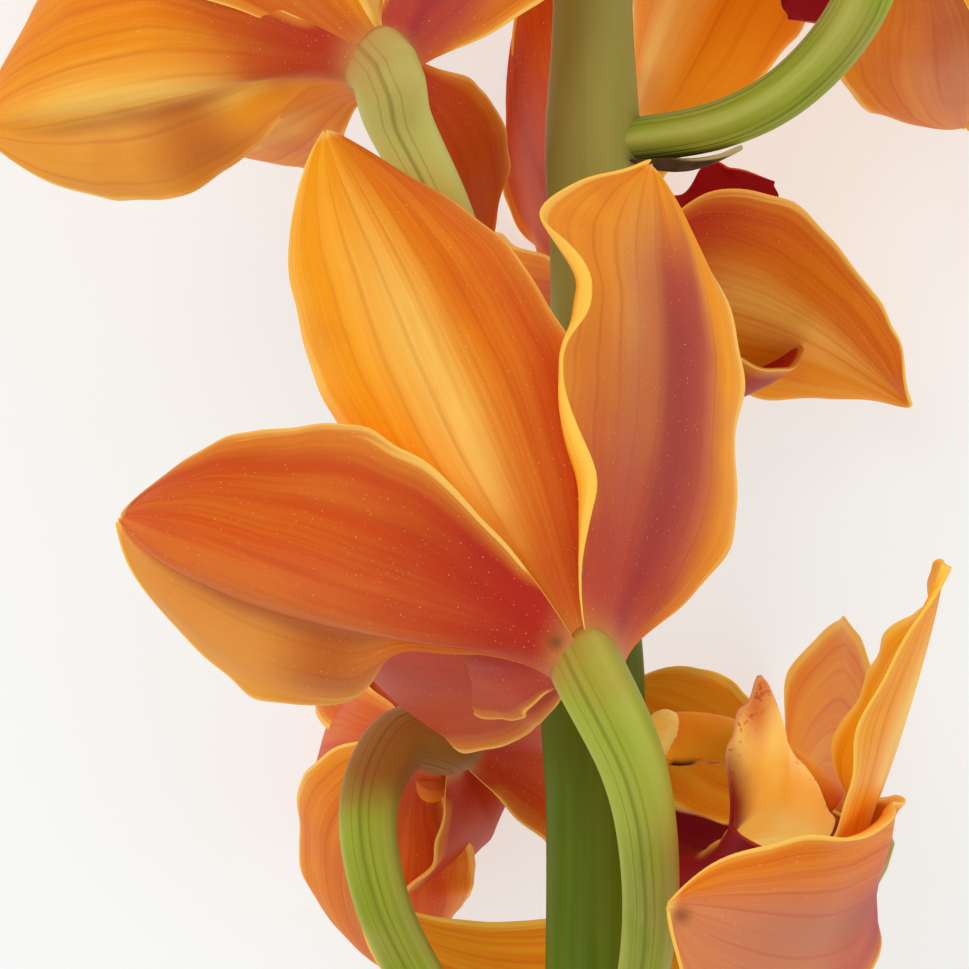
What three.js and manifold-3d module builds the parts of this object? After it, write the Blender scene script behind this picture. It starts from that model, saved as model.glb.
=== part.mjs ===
// Cymbidium orchid stem: one cut raceme laid down on a flat surface, most of its flowers face down.
// Millimetres and degrees. X points to the right across the raceme, Y along it to its tip, Z up.
// Everything is first placed round the raceme's axis (x = z = 0), then moved over the origin as one.

import * as THREE from 'three';
import { mergeVertices } from 'three/addons/utils/BufferGeometryUtils.js';
import Module from 'manifold-3d';

const wasm = await Module();
wasm.setup();

// ---------- driving dimensions ----------

const CLEARANCE = 0.3; // between pieces that touch
const SURFACE = -56; // height of the surface that the stem lies on, below the raceme's axis
const SURFACE_EASE = 1.6; // how gently a petal bends where it meets that surface

const STEM_ROUTE = [
  [0, -292, SURFACE + 5.8], [0, -232, -39], [0, -160, -17], [0, -90, -3.5],
  [0, -20, 0], [0, 60, 0], [0, 140, 0], [0, 190, -0.5], [0, 240, -3],
];
const STEM_CUT_RADIUS = 6.2;
const STEM_TIP_RADIUS = 2.9;
const NODE_SWELL = 0.8; // how far the stem swells on the side of each pedicel
const NODE_LENGTH = 9;

const BLADE = 0.8; // thickness of sepals, petals and lip
const SEPAL_LENGTH = 60;
const SEPAL_WIDTH = 30;
const PETAL_WIDTH = 28;
const LIP_LENGTH = 37;
const COLUMN_LENGTH = 25;
const PEDICEL_RADIUS = 1.9; // at the stem
const OVARY_RADIUS = 3.4;
const RIB_DEPTH = 0.05; // of the pedicel's blunt ribs, as a share of its radius
const RECEPTACLE_RADIUS = 3.8;
const FOOT_OUT = 2.4; // from the flower's axis to the foot of each tepal and of the lip
const LIP_LIFT = 3.3; // from the ovary's top to the foot of the lip
const COLUMN_LIFT = 4.4;
const RUFFLE = 0.8; // height of the waves along a tepal's edges
const RUFFLE_WAVES = 2.5;
const BRACT_LENGTH = 12;
const BRACT_WIDTH = 7;
const BRACT_DROP = 2.7; // from a pedicel's foot down to its bract
const SCALE_THICKNESS = 0.6; // of bracts and sheaths

// How one sepal or petal grows. az: place round the flower's axis from the dorsal sepal, open: angle
// from that axis, twist: turn of the blade about its own midrib, cup: bend of its left and right
// half. A list is the value at the foot, in the middle and at the tip.
const TEPALS = {
  dorsal: {
    az: [0, 0, 0], open: [62, 60, 48], long: SEPAL_LENGTH, wide: SEPAL_WIDTH, widest: 0.55,
    foot: 0.17, cup: [[35, 35, 30], [35, 35, 30]], keel: 0.05,
  },
  petal_left: {
    az: [-62, -66, -66], open: [50, 48, 40], long: SEPAL_LENGTH, wide: PETAL_WIDTH, widest: 0.6,
    foot: 0.15, cup: [[30, 30, 30], [30, 30, 30]], keel: 0,
  },
  petal_right: {
    az: [62, 66, 66], open: [50, 48, 40], long: SEPAL_LENGTH, wide: PETAL_WIDTH, widest: 0.6,
    foot: 0.15, cup: [[30, 30, 30], [30, 30, 30]], keel: 0,
  },
  sepal_left: {
    az: [-120, -122, -118], open: [62, 60, 48], long: SEPAL_LENGTH, wide: SEPAL_WIDTH,
    widest: 0.52, foot: 0.17, cup: [[35, 35, 30], [35, 35, 30]], keel: 0.05,
  },
  sepal_right: {
    az: [120, 122, 118], open: [62, 60, 48], long: SEPAL_LENGTH, wide: SEPAL_WIDTH,
    widest: 0.52, foot: 0.17, cup: [[35, 35, 30], [35, 35, 30]], keel: 0.05,
  },
};

// The lip: [share of its length, half width, cup, angle from the flower's axis].
const LIP_STATIONS = [
  [0, 3, 55, 12], [0.2, 9, 85, 18], [0.42, 15.5, 102, 26], [0.56, 12.5, 80, 45],
  [0.65, 6.5, 35, 75], [0.8, 8.5, -20, 105], [0.92, 6, -30, 125], [1, 1.2, -30, 135],
];

// at: top of the ovary. face: where the flower looks, as [angle in the plane of the raceme from +X,
// angle from straight down]. crown: angle of the dorsal sepal in that plane. stalk: the pedicel from
// the stem's axis to near the ovary's top. lipTurn: degrees that the lip bends further out, lipRoll:
// degrees that it sits to one side, size and lipSize: scale of the whole flower and of its lip,
// lipLong: scale of the lip's length alone, neck: share of the straight end of its stalk. grow: what
// differs from TEPALS.
const FLOWERS = [
  {
    at: [28.4, 14.4, 0], face: [151, 107], crown: 60, size: 0.95, neck: 0.4,
    lipTurn: 12, lipRoll: 50, lipSize: 1.0, lipLong: 0.8,
    stalk: [[1.5, -62, 0], [9, -49, -2], [16, -27, -9], [20.5, -5, -9]],
    grow: {
      petal_left: {
        az: [-70, -73, -30], open: [70, 64, 65], twist: [32, -10, -16], wide: 27.5, long: 65,
        widest: 0.45, foot: 0.4, cup: [[34, 25, 23], [60, 23, 23]],
      },
      sepal_left: {
        az: [-94, -123, -109], open: [97, 54, 14], twist: [43, -4, 29], wide: 29.5, long: 62,
        foot: 0.4, cup: [[10, 30, 40], [35, 26, 36]], keel: -0.25,
      },
      sepal_right: {
        az: [156, 129, 157], open: [98, 59, -22], twist: [16, -57, -66], wide: 16.5, long: 68,
        cup: [[14, 6, 12], [14, 6, 12]],
      },
      dorsal: { az: [64, 101, 127], open: [99, 103, 117], twist: [14, -6, -6], wide: 36, long: 65 },
      petal_right: {
        az: [86, 80, 89], open: [43, 37, 26], twist: [-40, -19, 1], wide: 18, long: 31,
      },
    },
  },
  {
    at: [-16.3, 23.9, -12], face: [260, 12], crown: 240, lipSize: 0.85,
    stalk: [[-1.2, -30, -1.2], [-13.5, -10, -1], [-22.8, 7, 0], [-24.3, 18.5, -3], [-20.5, 25, -7]],
    grow: {
      dorsal: {
        az: [33, -22, -100], open: [34, 57, 23], twist: [-37, 38, 59], wide: 24.5, long: 42,
        widest: 0.5, cup: [[32, 34, 30], [22, 37, 46]], keel: 0.3,
      },
      petal_right: { open: [40, 15, -30], long: 52 },
      sepal_right: {
        az: [136, 112, 118], open: [45, 24, 29], twist: [-32, -25, 10], wide: 25.5, long: 44,
      },
      petal_left: {
        az: [-70, -76, -70], open: [30, 8, -10], twist: [-40, 0, -20], wide: 28, long: 33,
      },
      sepal_left: {
        az: [-125, -125, -118], open: [50, 24, -12], twist: [-22, -28, -3], wide: 30.5, long: 40,
      },
    },
  },
  {
    at: [-1.7, 35.9, 45], face: [115, 32], crown: 183, lipTurn: -22,
    stalk: [[0.6, -15, 1], [4.6, -2, 15], [5.6, 12.1, 32], [3.4, 25, 44.5]],
    grow: {
      dorsal: {
        az: [10, 18, -7], open: [77, 72, 12], twist: [-20, -1, 18], wide: 35.5, long: 53,
        widest: 0.42, foot: 0.28, cup: [[55, 40, 10], [32, 40, 15]], keel: 0.2,
      },
      petal_right: {
        az: [70, 72, 66], open: [51, 48, 41], twist: [-5, -11, 33], wide: 26.5, long: 59,
        widest: 0.52, foot: 0.24, cup: [[32, 32, 34], [28, 30, 36]],
      },
      sepal_right: {
        az: [140, 108, 112], open: [50, 39, 24], twist: [11, 28, 8], wide: 32, long: 57,
        widest: 0.37, foot: 0.28, cup: [[17, 34, 34], [20, 30, 40]], keel: -0.15,
      },
      sepal_left: {
        az: [-27, -44, -41], open: [51, 18, 0], twist: [24, 36, 37], wide: 19, long: 35,
      },
      petal_left: {
        az: [-48, -36, -31], open: [42, 45, -9], twist: [2, 16, 16], wide: 28.5, long: 52,
      },
    },
  },
  {
    at: [1.4, 75.7, -28], face: [30, 38], crown: 210, lipTurn: -30, lipSize: 0.85,
    stalk: [[0.1, 30, -1.2], [0.2, 44.8, -14], [0.2, 60.7, -26]],
    grow: {
      sepal_right: {
        az: [120, 139, 149], open: [61, 64, 51], twist: [-42, -40, 25], wide: 30, long: 58,
        cup: [[45, 48, 33], [15, 38, 36]],
      },
      petal_right: { az: [58, 58, 58], open: [50, 50, 24] },
      petal_left: {
        az: [-75, -117, -101], open: [85, 53, -55], twist: [32, 26, 32], wide: 20, long: 33,
      },
      sepal_left: {
        az: [-125, -99, -109], open: [20, 52, 74], twist: [-31, 5, 32], wide: 31, long: 41,
        widest: 0.3, cup: [[42, 29, 19], [30, 26, 16]], keel: -0.2,
      },
    },
  },
  {
    at: [-23.3, 97.5, 30], face: [140, 30], crown: 191,
    stalk: [[-0.6, 52, 1], [-11, 69.8, 13], [-17, 84.2, 23], [-21, 92.3, 28]],
    grow: {
      dorsal: {
        az: [0, -8, -40], open: [48, 42, 30], twist: [-25, 10, 50], long: 51,
        cup: [[52, 38, 25], [36, 40, 30]], keel: 0.19,
      },
      sepal_right: {
        az: [164, 121, 121], open: [67, 62, 48], twist: [-44, -16, -14], wide: 29, long: 56,
        cup: [[60, 36, 30], [41, 33, 30]], keel: 0.2,
      },
      sepal_left: {
        az: [-129, -97, -97], open: [61, 54, 50], twist: [0, -12, -8], wide: 19, long: 54,
      },
      petal_left: {
        az: [-44, -66, -58], open: [34, 29, -11], twist: [3, 23, 8], wide: 26, long: 58,
      },
    },
  },
  {
    at: [33, 119, 10], face: [280, 10], crown: 40, lipTurn: -12, lipSize: 0.75,
    stalk: [[0.5, 90.6, 0.5], [13.8, 92.7, 4], [21.4, 96.6, 6], [28.3, 104.7, 8]],
    grow: {
      sepal_right: { az: [102, 99, 99], open: [51, 6, 3], twist: [0, 23, 0], wide: 27.5, long: 50 },
    },
  },
  {
    at: [-15.2, 155.3, -18], face: [200, 40], crown: 155,
    stalk: [[-0.5, 122, -0.3], [-5.7, 132.9, -8], [-11.3, 143.9, -14]],
    grow: {},
  },
  {
    at: [3, 195, 36], face: [70, 35], crown: 95, size: 0.92,
    stalk: [[0.5, 151, 0.5], [5, 163, 14], [6.5, 177, 28], [5, 188, 34]],
    grow: {},
  },
  {
    at: [2, 218, -24], face: [95, 55], crown: 120, size: 0.85,
    stalk: [[0, 178, -1], [1, 190, -13], [1.5, 205, -22]],
    grow: {},
  },
];

// Closed buds at the tip: stalk from the stem's axis through the bud to its tip.
const BUDS = [
  { route: [[-0.5, 197, -0.5], [-9, 206, 0], [-15, 221, 1], [-15, 241, 3]], radius: 7.5 },
  { route: [[0.5, 213, -1], [10, 221, -1], [16, 234, 1], [17, 248, 4]], radius: 6.4 },
  { route: [[-0.3, 226, -2], [-7, 234, -6], [-10, 245, -7], [-9, 256, -6]], radius: 4.8 },
  { route: [[0, 236, -2.5], [1.5, 244, -3], [2, 252, -3], [1, 260, -1]], radius: 3.4 },
];

const SHEATH_FLARE = 1.2; // how far a sheath's point stands off the stem
const SHEATHS = [{ foot: -262, long: 58 }, { foot: -206, long: 60 }, { foot: -140, long: 58 }];

// ---------- small tools ----------

const rad = THREE.MathUtils.degToRad;
const vec = (p) => new THREE.Vector3(...p);
const along = (start, direction, length) => start.clone().addScaledVector(direction, length);
const flat = (angle) => new THREE.Vector3(Math.cos(rad(angle)), Math.sin(rad(angle)), 0);

// A value that goes from the first to the last number, drawn towards the middle one.
function blend([a, b, c], t) {
  return a * (1 - t) ** 2 + 2 * b * t * (1 - t) + c * t * t;
}

// A value read off stations [t, value, value, ...], eased between neighbours.
function atStation(stations, column, t) {
  let k = 1;
  while (k < stations.length - 1 && stations[k][0] < t) k += 1;
  const [low, high] = [stations[k - 1], stations[k]];
  const s = THREE.MathUtils.smoothstep(t, low[0], high[0]);
  return THREE.MathUtils.lerp(low[column], high[column], s);
}

function solid(geometry) {
  for (const name of ['normal', 'uv']) geometry.deleteAttribute(name);
  const merged = mergeVertices(geometry, 1e-4);
  const { position } = merged.attributes;
  return new wasm.Manifold(new wasm.Mesh({
    numProp: 3,
    vertProperties: position.array,
    triVerts: new Uint32Array(merged.index.array),
  }));
}

// The largest body of a solid: loose scraps of a cut are dropped.
function largest(body) {
  return body.decompose().reduce((best, one) => (one.volume() > best.volume() ? one : best));
}

function geometryOf(body) {
  const mesh = body.getMesh();
  const geometry = new THREE.BufferGeometry();
  geometry.setAttribute('position', new THREE.BufferAttribute(mesh.vertProperties, 3));
  geometry.setIndex(new THREE.BufferAttribute(mesh.triVerts, 1));
  return geometry;
}

const group = new THREE.Group();

function addPiece(name, body, colour, roughness = 0.55) {
  const material = new THREE.MeshStandardMaterial({ color: colour, roughness, metalness: 0 });
  const mesh = new THREE.Mesh(geometryOf(body), material);
  mesh.name = name;
  group.add(mesh);
}

// ---------- blades: a closed thin solid round a curved grid ----------

// Where a petal would sink into the surface it bends along it instead.
function restOnSurface(point) {
  const depth = (point.z - SURFACE) / SURFACE_EASE;
  if (depth < 12) point.z = SURFACE + SURFACE_EASE * Math.log1p(Math.exp(depth));
  return point;
}

function gridNormal(grid, i, j) {
  const rows = grid.length - 1;
  const columns = grid[0].length - 1;
  const alongU = grid[Math.min(i + 1, rows)][j].clone().sub(grid[Math.max(i - 1, 0)][j]);
  const alongV = grid[i][Math.min(j + 1, columns)].clone().sub(grid[i][Math.max(j - 1, 0)]);
  return alongU.cross(alongV).normalize();
}

// Both faces share one way of splitting their cells, so a waved blade never crosses itself.
function blade(grid, thickness) {
  const rows = grid.length;
  const columns = grid[0].length;
  const points = [];
  for (const side of [0.5, -0.5]) {
    grid.forEach((row, i) => row.forEach((point, j) => {
      points.push(...along(point, gridNormal(grid, i, j), side * thickness).toArray());
    }));
  }
  const top = (i, j) => i * columns + j;
  const under = (i, j) => rows * columns + top(i, j);
  const faces = [];
  for (let i = 0; i < rows - 1; i += 1) {
    for (let j = 0; j < columns - 1; j += 1) {
      faces.push(top(i, j), top(i + 1, j), top(i + 1, j + 1));
      faces.push(top(i, j), top(i + 1, j + 1), top(i, j + 1));
      faces.push(under(i, j), under(i + 1, j + 1), under(i + 1, j));
      faces.push(under(i, j), under(i, j + 1), under(i + 1, j + 1));
    }
  }
  const wall = (a, b, c, d) => faces.push(a, c, b, b, c, d);
  for (let i = 0; i < rows - 1; i += 1) {
    wall(top(i, 0), top(i + 1, 0), under(i, 0), under(i + 1, 0));
    wall(under(i, columns - 1), under(i + 1, columns - 1), top(i, columns - 1),
      top(i + 1, columns - 1));
  }
  for (let j = 0; j < columns - 1; j += 1) {
    wall(under(0, j), under(0, j + 1), top(0, j), top(0, j + 1));
    wall(top(rows - 1, j), top(rows - 1, j + 1), under(rows - 1, j), under(rows - 1, j + 1));
  }
  const geometry = new THREE.BufferGeometry();
  geometry.setAttribute('position', new THREE.Float32BufferAttribute(points, 3));
  geometry.setIndex(faces);
  return solid(geometry);
}

// ---------- sweeps: a turned profile laid along a curve ----------

const FRAME_STEPS = 200; // directions worked out along a curve

// profile: [share of the length, radius] from end to end; swell(angle, radius) adds to it.
function sweep(curve, profile, sides, swell = () => 0) {
  const frames = curve.computeFrenetFrames(FRAME_STEPS, false);
  const outline = profile.map(([share, radius]) => new THREE.Vector2(radius, share));
  const geometry = new THREE.LatheGeometry(outline, sides);
  const { position } = geometry.attributes;
  for (let i = 0; i < position.count; i += 1) {
    const [x, share, z] = [position.getX(i), position.getY(i), position.getZ(i)];
    const at = Math.round(THREE.MathUtils.clamp(share, 0, 1) * FRAME_STEPS);
    const angle = Math.atan2(x, z);
    const radius = Math.hypot(x, z);
    const grown = radius > 1e-6 ? radius + swell(angle, radius) : 0;
    const point = curve.getPointAt(THREE.MathUtils.clamp(share, 0, 1));
    point.addScaledVector(frames.normals[at], grown * Math.cos(angle));
    point.addScaledVector(frames.binormals[at], grown * Math.sin(angle));
    position.setXYZ(i, point.x, point.y, point.z);
  }
  return solid(geometry);
}

// Profile shares at even steps, with the radius worked out by a function and both ends closed.
function evenProfile(steps, radiusAt) {
  const rings = Array.from({ length: steps + 1 }, (_, k) => [k / steps, radiusAt(k / steps)]);
  return [[0, 0], ...rings, [1, 0]];
}

// ---------- the flower ----------

function flowerFrame(flower) {
  const [turn, tilt] = flower.face;
  const face = flat(turn).multiplyScalar(Math.sin(rad(tilt)));
  face.z = -Math.cos(rad(tilt));
  const crown = flat(flower.crown);
  crown.addScaledVector(face, -crown.dot(face)).normalize();
  return { at: vec(flower.at), face, crown, side: face.clone().cross(crown) };
}

function around(frame, azimuth) {
  const [c, s] = [Math.cos(rad(azimuth)), Math.sin(rad(azimuth))];
  return {
    outward: frame.crown.clone().multiplyScalar(c).addScaledVector(frame.side, s),
    across: frame.crown.clone().multiplyScalar(-s).addScaledVector(frame.side, c),
  };
}

// The midrib's points with their directions: along it, across the blade and out of its inner face.
function midrib(frame, foot, length, azimuthAt, openAt, twistAt) {
  const steps = 48;
  const rib = [];
  let point = foot.clone();
  for (let k = 0; k <= steps; k += 1) {
    const t = k / steps;
    const { outward, across } = around(frame, azimuthAt(t));
    const [s, c] = [Math.sin(rad(openAt(t))), Math.cos(rad(openAt(t)))];
    const forward = outward.clone().multiplyScalar(s).addScaledVector(frame.face, c);
    const inward = frame.face.clone().multiplyScalar(s).addScaledVector(outward, -c);
    if (k > 0) {
      const mean = rib[k - 1].forward.clone().add(forward);
      point = along(point, mean, length / steps / 2);
    }
    const [ts, tc] = [Math.sin(rad(twistAt(t))), Math.cos(rad(twistAt(t)))];
    rib.push({
      point,
      forward,
      across: across.clone().multiplyScalar(tc).addScaledVector(inward, ts),
      inward: inward.clone().multiplyScalar(tc).addScaledVector(across, -ts),
    });
  }
  return (t) => {
    const k = Math.min(Math.floor(t * steps), steps - 1);
    const w = t * steps - k;
    const mix = (key) => rib[k][key].clone().lerp(rib[k + 1][key], w);
    return {
      point: mix('point'), across: mix('across').normalize(), inward: mix('inward').normalize(),
    };
  };
}

// A point across the blade: an arc bent by `cup` degrees, v from -1 to 1.
function acrossBlade(station, halfWidth, cup, v, lift = 0) {
  const bend = rad(Math.abs(cup) < 0.1 ? 0.1 : cup);
  const sideways = (halfWidth / bend) * Math.sin(v * bend);
  const rise = (halfWidth / bend) * (1 - Math.cos(v * bend)) + lift;
  const point = station.point.clone();
  return point.addScaledVector(station.across, sideways).addScaledVector(station.inward, rise);
}

function tepalHalfWidth(part, t) {
  const grown = Math.sin((Math.PI / 2) * Math.min(t / part.widest, 1)) ** 1.3;
  const rise = part.foot + (1 - part.foot) * grown;
  const past = Math.max((t - part.widest) / (1 - part.widest), 0);
  const fall = Math.max(1 - past ** 2.2, 0) ** 0.75;
  return Math.max((part.wide / 2) * (t < part.widest ? rise : fall), 0.35);
}

function tepal(frame, part, size, rows, columns, extra = 0) {
  const { outward } = around(frame, part.az[0]);
  const foot = along(along(frame.at, outward, FOOT_OUT * size), frame.face, size);
  const twist = part.twist ?? [0, 0, 0];
  const stationAt = midrib(frame, foot, part.long * size,
    (t) => blend(part.az, t), (t) => blend(part.open, t), (t) => blend(twist, t));
  const grid = [];
  for (let i = 0; i <= rows; i += 1) {
    const t = 1 - (1 - i / rows) ** 1.15;
    const station = stationAt(t);
    const half = tepalHalfWidth(part, t) * size + extra;
    const row = [];
    for (let j = 0; j <= columns; j += 1) {
      const v = (2 * j) / columns - 1;
      const keel = half * part.keel * (Math.sqrt(v * v + 0.02) - Math.sqrt(0.02));
      const wave = Math.sin(2 * Math.PI * RUFFLE_WAVES * t + (v < 0 ? 1.7 : 0));
      const ruffle = RUFFLE * Math.abs(v) ** 3 * wave * Math.min(4 * t, 1);
      const cup = blend(part.cup[v < 0 ? 0 : 1], t);
      row.push(restOnSurface(acrossBlade(station, half, cup, v, keel + ruffle)));
    }
    grid.push(row);
  }
  return grid;
}

function lip(frame, flower, rows, columns) {
  const size = (flower.size ?? 1) * (flower.lipSize ?? 1);
  const azimuth = 180 + (flower.lipRoll ?? 0);
  const { outward } = around(frame, azimuth);
  const foot = along(along(frame.at, outward, FOOT_OUT * size), frame.face, LIP_LIFT * size);
  const length = LIP_LENGTH * size * (flower.lipLong ?? 1);
  const stationAt = midrib(frame, foot, length, () => azimuth,
    (t) => atStation(LIP_STATIONS, 3, t) + (flower.lipTurn ?? 0), () => 0);
  const grid = [];
  for (let i = 0; i <= rows; i += 1) {
    const t = i / rows;
    const station = stationAt(t);
    const half = atStation(LIP_STATIONS, 1, t) * size;
    const row = [];
    for (let j = 0; j <= columns; j += 1) {
      const v = (2 * j) / columns - 1;
      row.push(restOnSurface(acrossBlade(station, half, atStation(LIP_STATIONS, 2, t), v)));
    }
    grid.push(row);
  }
  return blade(grid, BLADE);
}

// The column arches over the lip and ends in the rounded anther cap.
function column(frame, size, extra = 0) {
  const route = [[0, 2.4], [0.3, 3.6], [0.7, 2.4], [1, -1.2]].map(([share, lift]) => {
    const middle = along(frame.at, frame.face, (COLUMN_LIFT + share * COLUMN_LENGTH) * size);
    return along(middle, frame.crown, lift * size);
  });
  const profile = [
    [0, 0], [0, 2.3], [0.25, 2.4], [0.5, 2.7], [0.75, 3.3], [0.88, 3.5], [0.97, 2.4], [1, 0],
  ].map(([share, radius]) => [share, radius > 0 ? radius * size + extra : 0]);
  return sweep(new THREE.CatmullRomCurve3(route), profile, 8);
}

function receptacle(frame, size, extra = 0) {
  const ends = [-0.6 * size - extra, 4 * size + extra];
  const route = ends.map((end) => along(frame.at, frame.face, end));
  const radius = RECEPTACLE_RADIUS * size + extra;
  return sweep(new THREE.LineCurve3(...route), [[0, 0], [0, 0.8 * radius], [0.4, radius], [1, 0]], 8);
}

function perianth(frame, flower, rows, thickness, extra = 0) {
  const size = flower.size ?? 1;
  let body = receptacle(frame, size, extra);
  for (const [name, part] of Object.entries(TEPALS)) {
    const grown = { ...part, ...flower.grow[name] };
    body = body.add(blade(tepal(frame, grown, size, rows, 4, extra), thickness));
  }
  return body;
}

// The stalk turns into the flower's axis just under the receptacle.
function pedicelCurve(flower, frame) {
  const size = flower.size ?? 1;
  const neck = size * (flower.neck ?? 1);
  const ends = [3.4, 1.2].map((under) => along(frame.at, frame.face, -under * neck));
  return new THREE.CatmullRomCurve3([...flower.stalk.map(vec), ...ends], false, 'centripetal');
}

// Three blunt ribs run along the stalk, which thickens into the ovary.
function pedicel(flower, frame) {
  const size = flower.size ?? 1;
  const radiusAt = (t) => size * THREE.MathUtils.lerp(PEDICEL_RADIUS, OVARY_RADIUS, t ** 0.6);
  return sweep(pedicelCurve(flower, frame), evenProfile(8, radiusAt), 9,
    (angle, radius) => RIB_DEPTH * radius * Math.cos(3 * angle));
}

// ---------- the stem ----------

const stemCurve = new THREE.CatmullRomCurve3(STEM_ROUTE.map(vec), false, 'centripetal');

function stemRadius(share) {
  return THREE.MathUtils.lerp(STEM_CUT_RADIUS, STEM_TIP_RADIUS, share ** 2);
}

// Share of the stem's length at a height along Y.
function shareAtHeight(y) {
  let [low, high] = [0, 1];
  for (let k = 0; k < 30; k += 1) {
    const middle = (low + high) / 2;
    if (stemCurve.getPointAt(middle).y < y) low = middle;
    else high = middle;
  }
  return low;
}

// The stem swells at the foot of each pedicel.
function nodeSwell(y) {
  const swell = (flower) => Math.exp(-(((y - flower.stalk[0][1]) / NODE_LENGTH) ** 2));
  return NODE_SWELL * FLOWERS.reduce((most, flower) => Math.max(most, swell(flower)), 0);
}

function stem(extra) {
  const radiusAt = (t) => stemRadius(t) + nodeSwell(stemCurve.getPointAt(t).y) + extra;
  return sweep(stemCurve, evenProfile(30, radiusAt), 12);
}

// The dry bract under a pedicel: a small pointed scale from the stem outwards.
function bract(flower) {
  const [foot, next] = flower.stalk.map(vec);
  const outward = next.clone().sub(foot).setY(0).normalize();
  const across = outward.clone().cross(new THREE.Vector3(0, 1, 0));
  const share = shareAtHeight(foot.y - BRACT_DROP);
  const base = stemCurve.getPointAt(share);
  const start = stemRadius(share) + nodeSwell(base.y) + CLEARANCE;
  const grid = [];
  const rows = 4;
  for (let i = 0; i <= rows; i += 1) {
    const t = i / rows;
    const half = (BRACT_WIDTH / 2) * (1 - t ** 1.6) + 0.3;
    const middle = along(base, outward, start + BRACT_LENGTH * t);
    middle.y += 4.2 * t * t - 2 * t;
    grid.push([-1, 0, 1].map((v) => {
      const point = along(middle, across, v * half);
      point.y += 0.3 * half * Math.abs(v);
      return point;
    }));
  }
  return blade(grid, SCALE_THICKNESS);
}

// A papery sheath clasps the stem almost all round and ends in a point.
function sheath({ foot, long }) {
  const rows = 5;
  const columns = 6;
  const grid = [];
  const frames = stemCurve.computeFrenetFrames(FRAME_STEPS, false);
  for (let i = 0; i <= rows; i += 1) {
    const t = i / rows;
    const share = shareAtHeight(foot + long * t);
    const centre = stemCurve.getPointAt(share);
    const at = Math.round(share * FRAME_STEPS);
    const radius = stemRadius(share) + CLEARANCE + BLADE + SHEATH_FLARE * t * t;
    const wrap = rad(165) * (1 - 0.8 * t ** 3);
    const row = [];
    for (let j = 0; j <= columns; j += 1) {
      const angle = wrap * ((2 * j) / columns - 1);
      const point = along(centre, frames.normals[at], radius * Math.cos(angle));
      row.push(point.addScaledVector(frames.binormals[at], radius * Math.sin(angle)));
    }
    grid.push(row);
  }
  return blade(grid, SCALE_THICKNESS);
}

const BUD_PROFILE = [
  [0, 0], [0, 0.3], [0.25, 0.28], [0.42, 0.36], [0.52, 0.72], [0.65, 1], [0.8, 0.9], [0.93, 0.5],
  [1, 0],
];

function bud({ route, radius }) {
  const curve = new THREE.CatmullRomCurve3(route.map(vec), false, 'centripetal');
  return sweep(curve, BUD_PROFILE.map(([share, r]) => [share, r * radius]), 9);
}

// ---------- assembly ----------

const fatStem = stem(CLEARANCE);
addPiece('stem', stem(0), 0x6b8a2c);

FLOWERS.forEach((flower, k) => {
  const name = `flower_${k + 1}`;
  const frame = flowerFrame(flower);
  const size = flower.size ?? 1;
  const rows = k < 5 ? 7 : 6;
  const bloom = largest(perianth(frame, flower, rows, BLADE));
  const room = perianth(frame, flower, rows, BLADE + 2 * CLEARANCE, CLEARANCE);
  const lipBody = lip(frame, flower, rows, 6).subtract(room).subtract(column(frame, size, CLEARANCE));
  addPiece(`${name}_perianth`, bloom, 0xe07a22);
  addPiece(`${name}_lip`, largest(lipBody), 0x8c1f1f);
  addPiece(`${name}_column`, largest(column(frame, size).subtract(room)), 0xe9c860);
  const stalk = pedicel(flower, frame);
  addPiece(`${name}_pedicel`, largest(stalk.subtract(fatStem).subtract(room)), 0x9fb54a);
  addPiece(`${name}_bract`, largest(bract(flower).subtract(fatStem)), 0x4a3826, 0.85);
});

BUDS.forEach((one, k) => addPiece(`bud_${k + 1}`, largest(bud(one).subtract(fatStem)), 0xa8b050));
SHEATHS.forEach((one, k) => addPiece(`sheath_${k + 1}`, sheath(one), 0xb9a878, 0.8));

// The whole piece rests on z = 0 with its box's middle over the origin.
const box = new THREE.Box3().setFromObject(group);
const middle = box.getCenter(new THREE.Vector3());
group.position.set(-middle.x, -middle.y, -box.min.z);

export default group;
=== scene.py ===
"""Cymbidium orchid stem: a cut raceme that lies on a pale floor, most of its flowers face down.

Shapes are worked out in millimetres round the raceme's axis and moved to the row frame as they are
laid out. Sepals, petals and lips are sheets of points laid on grid primitives, stalks are rings.
"""

import math

import bpy
import numpy as np
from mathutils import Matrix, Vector


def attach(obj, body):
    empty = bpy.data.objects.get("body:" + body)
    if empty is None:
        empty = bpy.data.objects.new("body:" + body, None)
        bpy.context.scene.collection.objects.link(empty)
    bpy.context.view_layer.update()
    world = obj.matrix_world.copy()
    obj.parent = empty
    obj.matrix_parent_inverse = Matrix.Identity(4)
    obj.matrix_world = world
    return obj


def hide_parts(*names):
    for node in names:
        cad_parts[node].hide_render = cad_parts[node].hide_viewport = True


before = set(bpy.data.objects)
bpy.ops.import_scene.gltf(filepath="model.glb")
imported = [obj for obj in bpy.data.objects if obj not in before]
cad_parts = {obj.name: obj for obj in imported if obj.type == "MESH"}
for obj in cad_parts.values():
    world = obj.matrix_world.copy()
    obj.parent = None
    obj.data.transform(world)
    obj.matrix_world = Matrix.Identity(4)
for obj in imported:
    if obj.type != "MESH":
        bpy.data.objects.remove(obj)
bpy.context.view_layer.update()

MM = 0.001
ROW_SHIFT = np.array((-1.50883, 11.918, 56.4))  # from the raceme's axis to the row frame
SURFACE = -56.0  # height of what the stem lies on, from the raceme's axis
SURFACE_EASE = 1.6  # how gently a blade that meets it bends up off it
SURFACE_CLEAR = 12  # times that: from this height a blade is left as it is

# ---------- how the plant grows ----------

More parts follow.
